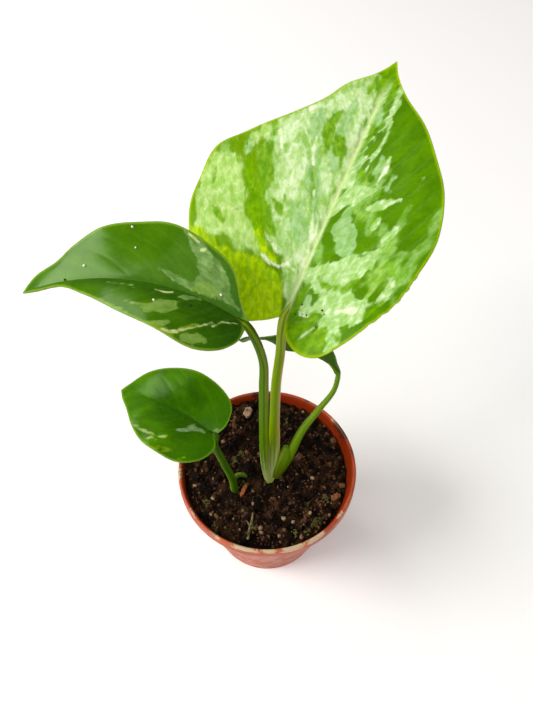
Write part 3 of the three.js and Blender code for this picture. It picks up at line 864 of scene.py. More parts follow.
def layBlade(leaf):
    # a flat grid is laid on the midrib: its columns run from base to tip, its rows follow the veins out
    length = leaf["length"]
    bm = bmesh.new()
    columns, rows = leaf["grid"]
    bmesh.ops.create_grid(bm, x_segments=2 * columns, y_segments=rows, size=1)
    flat = positionsOf(bm)
    x, u = flat[:, 0], (flat[:, 1] + 1) / 2
    v = np.abs(x) ** blade["crowding"]
    left, right = (evenOutline(leaf[side]) for side in ("left", "right"))
    spread = np.linspace(0, 1, len(left))
    edge = np.where(x < 0, lookUp(u, spread, left).T, lookUp(u, spread, right).T)
    if "scallop" in leaf:  # a wavy stretch of the right edge
        begin, finish, depth = leaf["scallop"]
        inside = (x > 0) * clamp01((edge[0] - begin) / 4) * clamp01((finish - edge[0]) / 4)
        edge[1] = edge[1] + depth * inside * (np.sin(1.9 * edge[0]) + 0.5 * np.sin(3.7 * edge[0] + 1))
    climb = np.maximum(0, (u - leaf["lobeShare"]) / (1 - leaf["lobeShare"])) ** blade["sweepAlong"]
    start = leaf["fan"] + (length - leaf["fan"]) * mix(climb, u, blade["evenShare"])
    s = start + (edge[0] - start) * v ** leaf["sweepOut"]
    w = np.sign(x) * np.maximum(0, edge[1]) * v
    reach = np.abs(w)

    veins, puffs = veinsAt(leaf, s, w)
    toEdge = np.maximum(0, np.abs(edge[1]) - reach)
    fade = clamp01(toEdge / blade["edgeFade"]) * clamp01((length - s) / blade["tipFade"]) * clamp01(reach / 2)
    relief = -blade["groove"] * bell(w / blade["grooveWidth"]) * clamp01(1.2 - s / length)
    relief = relief + fade * (blade["puff"] * puffs - blade["veinDepth"] * veins) * leaf["quilted"]
    swell = [noise.noise((a * blade["swell"], b * blade["swell"], leaf["seed"])) for a, b in zip(s, w)]
    relief = relief + leaf["uneven"] * np.array(swell) * clamp01(reach / 5)

    moveTo(bm, bladePoint(leaf, s, w) + bladeNormal(leaf, s, w) * (blade["top"] + relief)[:, None])
    lean = blade["grainLean"]  # the marbling runs up and out, this far up for each mm out
    unit = math.hypot(1, lean)
    marbled = [(s - lean * reach) / unit, (lean * s + reach) / unit, 9 * np.sign(w)]
    setField(bm, "marbling", np.stack(marbled, 1))
    setField(bm, "nerve", veins * fade)
    setField(bm, "alongLeaf", s / length)
    setField(bm, "outLeaf", w)
    setField(bm, "fromEdge", np.where(u < 0.999, toEdge, 0))
    for tone, strokes in leaf["tones"].items():
        setField(bm, tone, strokeDepth(s, w, strokes))
    rib = blade["rib"] * leaf["ribScale"] * (1 - blade["ribFade"] * clamp01(s / length))
    rib = rib * bell(w / blade["ribWidth"]) * clamp01((s - leaf["fan"]) / blade["ribStart"])
    return bm, blade["thickness"] + rib


def thicken(piece, depths):
    # the sheet's own thickness, with the midrib standing out underneath
    group = piece.vertex_groups.new(name="thickness")
    most = max(depths)
    for k, depth in enumerate(depths):
        group.add([k], depth / most, "REPLACE")
    solid = piece.modifiers.new("thickness", "SOLIDIFY")
    solid.thickness = most * mm
    solid.offset = -1
    solid.vertex_group = group.name
    solid.material_offset = 1
    solid.material_offset_rim = 2
    solid.use_quality_normals = True


def leafSkin(name, leaf, finish, under=False):
    # a living blade: waxy and glossy above, matt below, and thin enough that some light comes through
    dullness, paleness, pale = finish["under"]
    roughness = dullness if under else finish["roughness"]
    material, tree, shader = startMaterial(name, roughness, 1.42, finish["shine"])
    shader.inputs["Specular Tint"].default_value = linear("#e4ffc4")  # the green shows in the wax's shine
    lines, along, out = field(tree, "marbling", "Vector"), field(tree, "alongLeaf"), field(tree, "outLeaf")
    torn, fleck, blotch = (
        grainOf(lines, finish[key], detail, (1, stretch, 1), finish["swirl"])
        for key, detail, stretch in (("torn", 8, 2.2), ("fleck", 7, 2), ("blotch", 6, 2.2))
    )
    torn = calculate("SUBTRACT", torn, 0.5)
    pores = grainOf(lines, 0.7, 5, (1, 1.5, 1), 0.3)
    colour = mixColour(softStep(blotch, 0.36, 0.64), finish["green"], finish["freshGreen"])
    if "leftGreen" in finish:
        colour = mixColour(softStep(out, 2, -22), colour, finish["leftGreen"])
    if "baseGreen" in finish:
        colour = mixColour(softStep(along, *finish["baseEnds"]), finish["baseGreen"], colour)
    for tone in leaf["tones"]:
        look = finish["tones"][tone]
        body = mixColour(softStep(fleck, 0.36, 0.64), look["shade"], look["light"])
        for grain, key in ((blotch, "blotches"), (fleck, "flecks")):  # blotches lie over, flecks over those
            if key in look:
                tint, low, high = look[key]
                body = mixColour(softStep(grain, low, high), body, tint)
        shaken = calculate("ADD", field(tree, tone), times(torn, look["ragged"]))
        cover = softStep(shaken, -look["soft"], look["soft"], 0, look["cover"])
        if "sparse" in look:
            cover = times(cover, softStep(blotch, *look["sparse"]))
        colour = mixColour(cover, colour, body)
    amount, tint = finish["nerve"]
    colour = mixColour(times(field(tree, "nerve"), amount), colour, tint)
    width, amount, tint = finish["rib"]
    fromRib = calculate("ABSOLUTE", calculate("ADD", out, times(torn, 1.6)))
    rib = times(softStep(fromRib, width, 0, 0, amount), softStep(along, 0.94, 0.76))
    colour = mixColour(rib, colour, tint)
    colour = mixColour(softStep(field(tree, "fromEdge"), 0.9, 0.1, 0, 0.75), colour, finish["edge"])
    shade = softStep(pores, 0.3, 0.7, 1 - finish["speckle"], 1 + finish["speckle"])
    colour = addNode("HueSaturation", {"Value": shade, "Color": colour}).outputs[0]
    if under:
        colour = mixColour(paleness, colour, pale)
    letLightThrough(shader, mixColour(0.5, colour, finish["through"]), finish["thin"])
    leathery = mixNumbers(0.25, mixNumbers(0.4, fleck, blotch), pores)
    return finishMaterial(material, colour, leathery, finish["leathery"])


def edgeSkin(name, colour):
    # the cut edge of the blade, which glows a little against the light
    material, tree, shader = startMaterial(name, 0.4, 1.42)
    tint = softStep(grainOf(objectMillimetres(tree), 2, 3), 0.3, 0.7, 0, 0.5)
    colour = mixColour(tint, colour, "#c8dc50")
    tree.links.new(colour, shader.inputs["Base Color"])
    letLightThrough(shader, colour, 0.5)
    return material


def growLeaf(node, leaf, finish):
    bm, depths = layBlade(leaf)
    skins = [leafSkin(node + " upper", leaf, finish), leafSkin(node + " under", leaf, finish, True)]
    skins.append(edgeSkin(node + " margin", finish["edge"]))
    thicken(makePiece(node + "_blade", bm, skins, [node]), depths)


def underMidrib(leaf, reach, radius):
    # points under the blade, up to reach mm along it, where the stalk runs on and thins out
    s = np.array([0.2, 0.4, 0.7, 1.0]) * reach
    places = bladePoint(leaf, s, 0 * s) - bladeNormal(leaf, s, 0 * s) * np.linspace(0.75, 0.5, 4)[:, None]
    return [[*place, r] for place, r in zip(places.tolist(), np.linspace(radius, 0.3, 4))]


# Each leaf below has its shape, then its finish. Tones are painted one over the other with brush strokes, and
# a stroke is points of (along, out, half its width) in mm. In a finish, nerve is (amount, colour), rib is
# (half its width, amount, colour) and under is (roughness, amount, colour).

def paint(light, shade, ragged, soft, cover=1, **extra):
    # two colours that mottle, how ragged and how soft the edge is in mm, and how fully it covers
    return {"light": light, "shade": shade, "ragged": ragged, "soft": soft, "cover": cover, **extra}


# The large blade: mid green, marbled along its veins with lime, pale green, silver and cream. Right of the
# midrib most silver patches are painted reflections of the window.

largeLeaf = plannedLeaf({
    "joint": [4.5, 11.3, 112.5], "rise": [32, 16], "heading": [27.5, 24.5], "roll": [5, 5],
    "fold": 12, "curl": -10, "halfWidth": 36, "wave": (0.7, 4.5), "scallop": (2, 24, 0.16),
    "grid": (96, 176), "fan": 5, "seed": 2.0, "ribScale": 1,
    "veins": [-9, -5, -1.5, 2, 6, 11, 17, 24, 32, 41, 51, 62],
    "left": [
        [0, 1], [-3, 5.5], [-5, 12], [-2.5, 23], [5, 31], [15.5, 36.5], [28, 39.5], [40, 38], [48.5, 31.5],
        [56, 22.5], [64, 15.5], [71.5, 10.5], [77.5, 3.5], [82.5, 0],
    ],
    "right": [
        [0, 1], [-4.5, 2.5], [-7.5, 8], [-6.5, 14], [-1, 19], [4, 22.5], [13.5, 28], [25, 31], [34, 31],
        [44, 28], [53, 22.5], [62.5, 15.5], [71, 7], [77, 2.5], [82.5, 0],
    ],
    "tones": {
        "mist": [
            [(20, -12, 4), (30, -18, 4), (42, -22, 5)], [(10, 18, 4), (22, 22, 4), (30, 17, 2)],
            [(34, 8, 3), (46, 6, 3)], [(56, -20, 3), (46, -33, 4)], [(12, -30, 4), (14, -18, 3)],
        ],
        "outer": [
            [(15.5, -33, 2), (20, -30, 6), (26, -31, 7.5), (31, -33, 6.5), (35, -34, 4), (37, -32, 1.5)],
            [(14, -20, 1.5), (17, -21, 3), (20, -25, 4)], [(14, -14, 1), (17, -17, 2.5), (19, -20, 3)],
            [(52, -22, 3), (49, -26, 2.5), (46, -29, 1.5), (43, -29, 1.2), (41, -29, 0.8)],
        ],
        "inner": [
            [(17, -4, 3.5), (22, -7, 6), (28, -9, 8), (34, -10, 10), (41, -12, 12), (48, -14, 11.5),
             (55, -12, 9.5), (62, -9, 8), (68, -6.5, 6), (72, -5, 4), (75, -3.5, 2)],
            [(6, -2, 1.2), (12, -3, 2.5), (17, -4, 3.5)],
        ],
        "pale": [
            [(68, -6, 2.5), (62, -11, 3), (54, -19, 3.2), (48, -21, 2)],
            [(45, -16, 2.5), (39, -14, 3.5), (33, -13.5, 2.5)], [(66, -3, 2), (56, -2.6, 1.6), (46, -1.6, 1)],
            [(30, -1.4, 1), (20, -1.2, 1.4), (10, -0.8, 1.2)], [(46, -6, 0.8), (38, -4.4, 1.4)],
            [(22, -2.5, 1.5), (16, -3, 1.8)],
        ],
        "haze": [
            [(31, 17, 1.2), (26, 18.5, 1.8), (22, 20, 1.6)],
            [(37, 20.5, 0.6), (33, 20.8, 1.2), (29, 20.8, 1.2), (25, 22, 1)],
            [(39, 29.7, 0.8), (33, 29.3, 1.1), (28, 29, 1.3), (24, 28, 1.4), (19, 26.5, 1.2)],
            [(25, 24, 1), (20, 25, 1.4), (14, 26, 1.2)], [(34, 12, 1), (29, 13, 1.4)],
            [(46, 11, 1.2), (40, 9, 2.6), (35, 6.5, 2.4)],
            [(54, 1.6, 1), (47, 1.8, 1.4), (40, 4, 2.4), (34, 2, 1.2)], [(22, 1.6, 0.6), (17.5, 3, 1.2)],
            [(72, 3, 0.8), (66, 2.5, 1.4), (60, 2.5, 1.2)], [(42, -36, 1), (38, -35, 1.4)],
        ],
        "fair": [
            [(12.5, 1.5, 1.5), (14, 5, 2.8), (15.5, 9.5, 4), (18, 13.5, 3.8), (20.5, 16.5, 2.4), (23, 18, 1)],
            [(9, 8, 1.5), (7, 10, 3), (6, 14, 4.2), (7.5, 18, 3.4), (10, 20.5, 1.6)],
            [(4, 6, 1.6), (3, 4, 1)], [(2.5, 12, 2.2), (1, 15, 2.4), (-1.5, 16.3, 1.6), (-4, 16, 0.8)],
            [(18, 24, 0.8), (15, 25, 1.4), (11.5, 24, 0.8)],
            [(14, 3, 1.6), (11.5, 4, 1.8), (10.5, 8, 2.4), (10, 12, 2.2)], [(14, 12, 1.6), (11, 15, 1.6)],
            [(31, 1.2, 0.8), (35, 2.4, 2), (38, 4.8, 3), (40, 8, 1.8)], [(45, 1.6, 0.9), (41, 2, 2)],
            [(35, 10.5, 0.6), (36.5, 14, 1.6), (39, 17.6, 0.7)],
            [(75, 1.2, 0.5), (68, 1.6, 0.8), (62, 1.4, 0.5)], [(68, 5.2, 0.3), (62, 4.4, 0.5)],
            [(58, 5.2, 0.2), (54, 3.4, 0.4)], [(50, 3.4, 0.8), (46, 2.6, 1)],
            [(31, 20, 1), (27.5, 18.5, 1.4)], [(33, 14.5, 0.4), (30, 14, 0.6)],
            [(22.5, 14.5, 0.2), (24.5, 18, 0.4), (24, 19.5, 0.2)], [(47, 21, 0.1), (43, 21, 0.15)],
            [(64, 5.5, 0.3), (60, 6.5, 0.5), (55, 6.3, 0.5), (50, 5.5, 0.45), (45, 5.2, 0.3)],
            [(60, 5, 0.3), (57, 3.5, 0.6), (54, 2.5, 0.4)], [(51, 10, 0.2), (46, 10.3, 0.35), (42, 9.8, 0.4)],
            [(72, 1, 0.8), (64, 0.6, 0.6), (56, 0.8, 0.8)], [(75, 3.8, 0.3), (70, 5, 0.5), (65, 4.8, 0.6)],
        ],
        "lime": [
            [(-1, -6, 5), (3, -10, 8), (5, -15, 8), (6, -22, 6), (10, -30, 4), (12, -35, 3)],
            [(21, -17.5, 1.2), (17, -14, 1.5), (14.3, -10.5, 1.2), (13.3, -8, 0.7)],
            [(-1, 12, 1.6), (-2.5, 11.5, 1.4)],
        ],
        "silver": [
            [(31, -8.5, 1), (28.5, -8, 2.3), (25, -6.5, 2.6), (22, -4.5, 2)],
            [(30.5, -10.5, 0.7), (24, -8, 1.2)],
            [(47, -10.3, 0.8), (43, -9, 1.8), (37, -7, 2), (31, -4.5, 1.8), (27, -3, 1)],
            [(65.5, -6.3, 0.6), (61, -6, 1.3), (56, -6.5, 1.8), (53.5, -6.5, 1)],
            [(60, -13.8, 1.2), (57, -13.8, 1.9), (52, -13, 1.7)], [(62, -10.3, 0.8), (60, -10, 0.9)],
            [(49, -5.5, 1), (45, -4, 1.6), (44, -3.5, 1)], [(44, -30, 1), (41, -28.5, 1.2)],
            # from here on, right of the midrib, the silver patches are mostly painted reflections of the
            # window, not marbling
            [(33, 5.2, 1), (29.5, 5.5, 2.4), (26.5, 7, 3.8), (23.8, 8.5, 3.2), (21.8, 8.8, 1.6)],
            [(50, 8, 0.8), (47, 8.3, 1.3), (44, 8.5, 0.9)], [(45, 13.3, 0.8), (41.5, 13.2, 1)],
            [(7.5, 4.8, 0.8), (5.5, 5, 0.8)], [(66, 1.5, 1), (62, 2.5, 1.4), (60.5, 3, 0.8)],
            [(52, 2.4, 0.8), (46, 2.6, 0.9)],
        ],
        "green": [
            [(72, -1, 1.5), (76, -0.5, 2.5), (80, 0, 2), (82.5, 0, 1)],
            [(45, -24, 1), (41, -23, 2.2), (36, -21, 2.2), (31, -21, 2.2), (26, -20.5, 2.2),
             (21, -17.5, 1.6)],
            [(29, -19.5, 0.8), (26, -17.5, 1.8), (22.5, -15, 2), (20.5, -12.5, 1.3), (20, -11.5, 0.6)],
            [(29.5, -15.8, 0.7), (28, -14, 1.1), (26, -12.5, 0.6)],
            [(38, -27, 0.8), (34, -25.5, 1.8), (31, -23.5, 1.4)],
            [(61, -9, 0.9), (57, -9.8, 1.6), (53, -9.6, 1.9), (49.5, -8.3, 0.9), (48, -8, 0.4)],
            [(53, -6, 1.2), (51, -5.3, 1.8), (48.5, -4.2, 1.2)],
            [(53, -5, 0.8), (49, -3.3, 0.9), (43, -1.8, 0.3)],
            [(46, -10.6, 0.3), (40, -8.8, 0.4), (35, -6.6, 0.5), (30, -4.2, 0.35)],
            [(52.5, -25.7, 1), (48.5, -24.3, 0.5)], [(76, -3, 0.8), (72, -3.6, 0.9), (69.5, -4, 0.4)],
            [(76, -1.2, 0.5), (71, -1.3, 0.5), (66, -1, 0.3)],
            [(13, 5.5, 0.8), (11.8, 7, 1.2), (11.5, 9, 0.6)], [(11.8, 11, 0.5), (11.3, 11.5, 0.4)],
            [(10, 3.4, 0.8), (6, 2.4, 0.8), (2, 1.8, 0.6), (-2, 1.8, 0.5)],
            [(2.8, 9, 1.3), (1, 7, 2), (-2, 7, 3.5), (-5, 8.5, 2.5)], [(0, 12.5, 1.2), (-3, 12, 2.5)],
            [(0.3, 15.5, 0.5), (0, 17, 0.6)], [(31.5, -13.5, 0.5), (30.5, -13, 0.4)],
            [(59, 1.5, 0.8), (57, 2, 0.8)], [(12, 13, 0.8), (16, 16.5, 0.6)],
            [(76, 2.5, 1), (70, 2.8, 0.8), (65, 2.6, 0.4)], [(60, 4, 0.4), (55, 2, 0.6), (51, 1.6, 0.4)],
            [(45, 4, 0.9), (42, 6.5, 0.7)], [(8, 22, 0.8), (12, 24.5, 0.7)], [(19, -27, 0.5), (23, -33, 0.6)],
            [(33, -36, 0.6), (29, -35, 0.4)],
        ],
        "cream": [
            [(36, -6.4, 0.05), (32, -5.2, 0.15), (28, -3.8, 0.2), (25.5, -2.6, 0.25), (23, -1.6, 0.35),
             (19, -0.9, 0.35), (15, -0.6, 0.3)], [(29.5, -1.8, 0.2), (26.5, -1.5, 0.2), (24, -1.2, 0.2)],
            [(51, -12, 0.3), (47, -11.5, 0.5), (43, -9.5, 0.3)], [(54, -19.8, 0.3), (51, -19.5, 0.4)],
            [(50, -23, 0.3), (45, -20, 0.4)], [(60.5, -17, 0.6), (59, -17.5, 0.5)],
            [(43, -14, 0.1), (38, -14, 0.3), (35, -13, 0.1)],
            [(13.8, -12.5, 0.3), (12.5, -10, 0.4), (12.5, -7, 0.3), (14, -5, 0.2), (13, -2.5, 0.4)],
            [(19.5, -14, 0.3), (18, -12, 0.45), (16.5, -9.5, 0.35), (15.8, -9, 0.2)], [(37, -33, 0.1)],
            [(6.3, 14, 0.4), (7.5, 17, 0.6), (8, 18.5, 0.4)], [(2.2, 4.5, 0.5), (2.5, 6.5, 0.4)],
            [(50, 10.3, 0.2), (47, 10.5, 0.25), (43, 9.8, 0.3)], [(18, 25, 0.3), (16.5, 25.5, 0.3)],
            [(-4.5, 6.5, 0.02), (0.5, 10, 0.05)],
        ],
    },
})
largeFinish = {
    "roughness": 0.3, "shine": 0.1, "leathery": 0.1, "speckle": 0.08, "thin": 0.2, "through": "#9ad000",
    "torn": 2.4, "fleck": 1.5, "blotch": 3.6, "swirl": 0.4, "under": (0.6, 0.45, "#8fae72"),
    "green": "#4d7d00", "freshGreen": "#5a8c00", "leftGreen": "#6e9a00", "edge": "#a4c410",
    "nerve": (0.04, "#bfe08a"), "rib": (1.5, 0.9, "#d3e6a0"),
    "tones": {
        "mist": paint("#a9d067", "#86ba32", 5, 2, 0.75, sparse=(0.48, 0.66)),
        "outer": paint("#bcd884", "#9cc658", 6, 0.8, blotches=("#84b434", 0.54, 0.74),
                       flecks=("#d0e4a6", 0.58, 0.72)),
        "inner": paint("#bad892", "#90bc54", 5, 0.6, blotches=("#7fb728", 0.58, 0.74),
                       flecks=("#cde3a6", 0.58, 0.72)),
        "pale": paint("#dcecc0", "#b8d888", 6, 1, 0.8),
        "haze": paint("#a6cf74", "#78b030", 6, 0.8, 0.6),
        "fair": paint("#bedc9a", "#98c264", 5, 0.35, blotches=("#86bc3c", 0.58, 0.74),
                      flecks=("#deefc2", 0.58, 0.72)),
        "lime": paint("#bada00", "#8eba00", 6, 0.8, flecks=("#c0dc50", 0.62, 0.76)),
        # silver colours the silver marbling and also the painted reflections right of the midrib
        "silver": paint("#a8cc8a", "#8cba64", 5, 0.35, 0.9, blotches=("#86bb4e", 0.58, 0.7)),
        "green": paint("#7aaa00", "#5e9200", 4, 0.5, 0.92, blotches=("#96bc34", 0.6, 0.74)),
        "cream": paint("#fafce6", "#dceeb4", 2.6, 0.45, 0.95),
    },
}

# The dark blade at the left: glossy deep green with two silver patches and a few cream streaks

leftLeaf = plannedLeaf({
    "joint": [-5.2, 2, 121], "rise": [35.5, -30.5], "heading": [-63.5, -86.5], "roll": [15, 15],
    "bendPower": 0.7, "fold": 22, "curl": -15, "halfWidth": 19, "wave": (0.4, 3.5), "quilted": 0.3,
    "grid": (64, 130), "fan": 4, "lobeShare": 0.1, "sweepOut": 1.1, "seed": 5.0, "ribScale": 0.8,
    "veins": [-3, 1, 5, 10, 16, 23, 31, 40, 50],
    "left": [
        [0, 1], [0, 6], [3, 11], [8, 14], [14, 14.5], [24, 12.5], [34, 9.5], [44, 5], [52, 1.5], [60, 1],
        [65.5, 0],
    ],
    "right": [
        [0, 1], [5, 4.5], [10, 10.5], [16, 13.5], [25, 16], [33, 15.5], [42, 13.5], [49, 9.5], [54, 6],
        [61, 3.5], [65.5, 0],
    ],
    "tones": {
        "deep": [
            [(3, -3, 3), (9, -4, 5), (17, -3, 3.5), (30, -1.2, 1.6), (48, -0.8, 0.8)], [(6, 8, 1), (3, 5, 1)],
        ],
        "silver": [
            [(4, 2, 0.3), (6, 2.3, 0.6), (9, 3.3, 1.6), (12, 6, 2.8), (15, 9, 2.4), (19, 12.5, 1.4),
             (22, 15, 0.5)], [(12, 2.5, 1.4), (18, 2.1, 0.9), (22, 2.9, 0.7), (25.8, 4.3, 0.2)],
            [(15, 3, 1.5), (14, 6, 2)], [(18.5, -2.2, 0.4), (16, -1.5, 0.6), (13.5, -0.5, 0.3)],
        ],
        "olive": [
            [(24, -8, 1.6), (21, -6.5, 2.4), (19, -5, 1.5)], [(32, -7.3, 0.12), (27, -7.3, 0.4), (25, -8, 1)],
            [(13, -12.8, 1.1), (10.5, -12, 1.5), (8, -11.2, 1)],
            [(22, -12, 0.5), (19, -11.3, 0.8), (18, -10.6, 0.4)],
            [(45, -4.5, 0.4), (38, -7.5, 0.5), (30, -10.3, 0.4)], [(38, -1.6, 0.02), (30, -1.9, 0.1)],
            [(16, 1.6, 0.8), (13.5, 3, 1.6), (11, 2.6, 1)],
        ],
        "lime": [
            [(14.5, -11, 0.5), (12.5, -9, 0.5), (11, -8, 0.3)],
            [(24, -12.3, 0.4), (20, -12.8, 0.8), (16, -13.5, 0.8)],
        ],
        "cream": [
            [(19, -13, 0.3), (17, -13, 0.5), (15, -12.2, 0.5), (14, -11.2, 0.3)],
            [(15, -11.5, 0.15), (12, -9.5, 0.18), (8, -5.5, 0.1)],
            [(7.5, -6.5, 0.12), (6, -4, 0.18), (2, -1.3, 0.1)],
            [(25, -2, 0.04), (22, -2, 0.16), (20.5, -1.4, 0.1)], [(17.4, 11.3, 0.4), (16.6, 12.2, 0.3)],
            [(18.5, 13, 0.2), (21, 14.3, 0.3)],
        ],
    },
})
leftFinish = {
    "roughness": 0.17, "shine": 0.3, "leathery": 0.035, "speckle": 0.07, "thin": 0.12, "through": "#74a800",
    "torn": 1.3, "fleck": 1.2, "blotch": 4.5, "swirl": 0.4, "under": (0.6, 0.5, "#7f9c66"),
    "green": "#3a6700", "freshGreen": "#447100", "baseGreen": "#2f5e00", "baseEnds": (0.0, 0.3),
    "edge": "#7ea22c", "nerve": (0.08, "#6f9a3a"), "rib": (0.45, 0.4, "#2f5e00"),
    "tones": {
        "deep": paint("#2e5a00", "#264e00", 4, 2.4, 0.9),
        "silver": paint("#74974e", "#597c36", 2.6, 0.24, 0.92, flecks=("#8eae66", 0.6, 0.72)),
        "olive": paint("#82a24a", "#6c9232", 2.8, 0.3, 0.85),
        "lime": paint("#90a838", "#7d9a22", 3, 0.45, 0.8),
        "cream": paint("#dce2a4", "#b0c46c", 1.3, 0.22, 0.9),
    },
}

# The small young blade in front: deep glossy green with a silver streak and a few lime specks

smallLeaf = plannedLeaf({
    "joint": [-15.8, -2, 71], "rise": [27, -21.5], "heading": [-58.5, -67.5], "roll": [0, 0],
    "fold": 10, "curl": -10, "halfWidth": 15, "wave": (0.3, 3), "uneven": 0.2, "quilted": 0.45,
    "grid": (56, 96), "fan": 3, "lobeShare": 0.25, "sweepOut": 1.1, "seed": 9.0, "ribScale": 0.6,
    "veins": [-3, 0.5, 4, 8, 12.5, 17.5, 23, 29],
    "left": [
        [0, 1], [-2, 4], [-0.5, 9.5], [4, 14], [10, 15.5], [17, 15], [23, 12], [29, 6.5], [33, 3], [35.5, 0],
    ],
    "right": [
        [0, 1], [-0.5, 5], [1.5, 10.5], [6.5, 13.5], [12, 14.5], [19, 14], [25, 11.5], [30, 8], [33.5, 3],
        [35.5, 0],
    ],
    "tones": {
        "deep": [[(5, -1, 2.5), (10, -3, 5), (16, -1, 6), (20, 2, 4)], [(12, 6, 4), (15, 9, 2)]],
        "lime": [
            [(10.3, -13.8, 0.5), (9.2, -12.8, 0.5), (8.4, -12.2, 0.3)],
            [(13.2, -15.2, 0.5), (12, -14.2, 0.4)], [(5, -13.4, 0.3), (4, -12.2, 0.25)],
            [(16.8, -13.4, 0.5), (15.6, -12, 0.6)], [(12.6, -10.4, 0.5), (12.2, -9.6, 0.3)],
        ],
        "silver": [
            [(10.8, -6.4, 0.3), (8.8, -4.6, 0.55), (7.2, -2.8, 0.8), (5, -1.9, 0.5), (3.4, -1.7, 0.2)],
            # the short silver stroke at the base, right of the midrib, is a painted highlight
            [(8.4, -3, 0.3), (7.4, -1.5, 0.35)], [(1.6, 0.8, 0.3), (0.9, 1.6, 0.35)],
        ],
        "cream": [
            [(23, -11.2, 0.25), (20, -11.4, 0.3), (17.5, -11.5, 0.35)],
            [(16.8, -11.3, 0.35), (15.4, -11.3, 0.25)], [(16.5, -13, 0.3), (16, -12.4, 0.3)],
            [(14.3, -12.6, 0.25), (14.1, -12.2, 0.2)], [(14, -10.9, 0.2), (12.4, -10.2, 0.3)],
        ],
    },
})
smallFinish = {
    "roughness": 0.2, "shine": 0.28, "leathery": 0.04, "speckle": 0.07, "thin": 0.12, "through": "#6ea000",
    "torn": 1.3, "fleck": 1.1, "blotch": 4.5, "swirl": 0.4, "under": (0.6, 0.5, "#7c9a62"),
    "green": "#3d6c00", "freshGreen": "#4a7e00", "baseGreen": "#396c00", "baseEnds": (0.02, 0.4),
    "edge": "#76a01c", "nerve": (0.06, "#5f9428"), "rib": (0.5, 0.35, "#2c5c00"),
    "tones": {
        "deep": paint("#2c5a00", "#255000", 4, 3.2, 0.9),
        "lime": paint("#94b01c", "#6e9008", 3, 0.5, 0.75),
        # silver colours the silver streak and also the painted highlight at the base
        "silver": paint("#8ba874", "#6f9054", 2.4, 0.3, 0.8),
        "cream": paint("#b6ca86", "#90ad50", 2.4, 0.35, 0.8),
    },
}

# The narrow young blade at the back, turned so that its matt underside shows between the stalks

backLeaf = plannedLeaf({
    "joint": [20.9, 9.1, 89.2], "rise": [80, -32], "heading": [-68.5, -77.5], "roll": [-80, 10],
    "twistPower": 6, "bendPower": 0.6, "fold": 5, "curl": -5, "halfWidth": 9, "wave": (0.3, 3),
    "grid": (36, 90), "fan": 1.5, "lobeShare": 0, "sweepOut": 1.05, "seed": 12.0, "ribScale": 0.5,
    "uneven": 0.2, "quilted": 0.5, "veins": [2, 6, 10, 14, 19, 25],
    "left": [[0, 0.8], [4, 1.8], [8, 5], [12, 8], [17, 7], [22, 3], [26.5, 1.2], [31, 2], [35, 0]],
    "right": [[0, 0.8], [4, 1.2], [9, 3], [15, 5.5], [20, 6.8], [24.5, 6], [28.5, 3], [32, 1.5], [35, 0]],
    "tones": {
        "silver": [[(12, -3, 0.8), (16, -3.5, 1.2), (20, -2, 0.5)], [(9, 1.5, 0.3), (14, 3, 0.6)]],
    },
})
backFinish = {
    "roughness": 0.28, "shine": 0.14, "leathery": 0.05, "speckle": 0.07, "thin": 0.15, "through": "#5c8c0c",
    "torn": 1.2, "fleck": 1.1, "blotch": 3, "swirl": 0.7, "under": (0.5, 0.3, "#54782c"),
    "green": "#2c5600", "freshGreen": "#346400", "baseGreen": "#1c4600", "baseEnds": (0.1, 0.4),
    "edge": "#56781c", "nerve": (0.12, "#7fa458"), "rib": (0.5, 0.5, "#5c7e2c"),
    "tones": {"silver": paint("#7a9a58", "#66883e", 2, 0.4)},
}

# each stalk with its leaf, the leaf's slot, and how far the stalk runs on under the blade
grown = {
    "petiole_large": ("leaf_large", largeLeaf, largeFinish, "leaf_marbled", 11),
    "petiole_left": ("leaf_left", leftLeaf, leftFinish, "leaf_dark", 8),
    "petiole_small": ("leaf_small", smallLeaf, smallFinish, "leaf_young", 6),
    "petiole_right": ("leaf_back", backLeaf, backFinish, "leaf_back", 6),
}
for stalkName, (leafName, leaf, finish, slotName, reach) in grown.items():
    growLeaf(leafName, leaf, finish)
    stalk = stalks[stalkName]
    body = stalkBody(stalk, underMidrib(leaf, reach, stalk["path"][-1][3] * 0.8))
    makePiece(stalkName + "_stalk", body, [stalkSkin(stalkName, stalk)], [stalkName])
    print(leafName, "and its stalk are grown")

# Specks of perlite (0) and peat (1) that have splashed onto the blades: along and out in mm, radius, kind
specks = [
    (largeLeaf, 5, 3.8, 0.33, 1), (largeLeaf, 5.3, 10, 0.35, 1), (largeLeaf, 4.5, 11, 0.28, 1),
    (largeLeaf, 2.7, 6.3, 0.28, 1), (largeLeaf, 2, 3, 0.25, 1), (largeLeaf, 0.7, 10.2, 0.28, 1),
    (leftLeaf, 45.2, 3.5, 0.54, 0), (leftLeaf, 24, -5.5, 0.42, 0), (leftLeaf, 9.4, 3, 0.42, 0),
    (leftLeaf, 32.2, 8.4, 0.35, 0), (leftLeaf, 34, 13.8, 0.42, 0), (leftLeaf, 15, -3.6, 0.35, 1),
    (leftLeaf, 51, 0.4, 0.38, 1),
]


def driedSplash():
    # perlite dust and wet peat that have dried on the wax: dull, and either nearly white or nearly black
    material, tree, shader = startMaterial("dried splash", 0.8)
    tree.links.new(mixColour(field(tree, "tint"), "#e6dfcf", "#1a110a"), shader.inputs["Base Color"])
    return material


def drawSpeck(bm, speck):
    leaf, s, w, size, kind = speck
    s, w = np.array([s]), np.array([w])
    place = bladePoint(leaf, s, w) + bladeNormal(leaf, s, w) * (blade["top"] + 0.3 * size)
    lumpAt(bm, Vector(place[0].tolist()), size, 0.8, 0.4)
    return kind


makePiece("soil_specks", scatter(len(specks), drawSpeck, lambda i: specks[i]), [driedSplash()])
makePiece("crown_stem", crownBody(), [stalkSkin("crown", crown["skin"])], ["crown"])
print("the crown is made")


# Fibres, bark chips and the twig

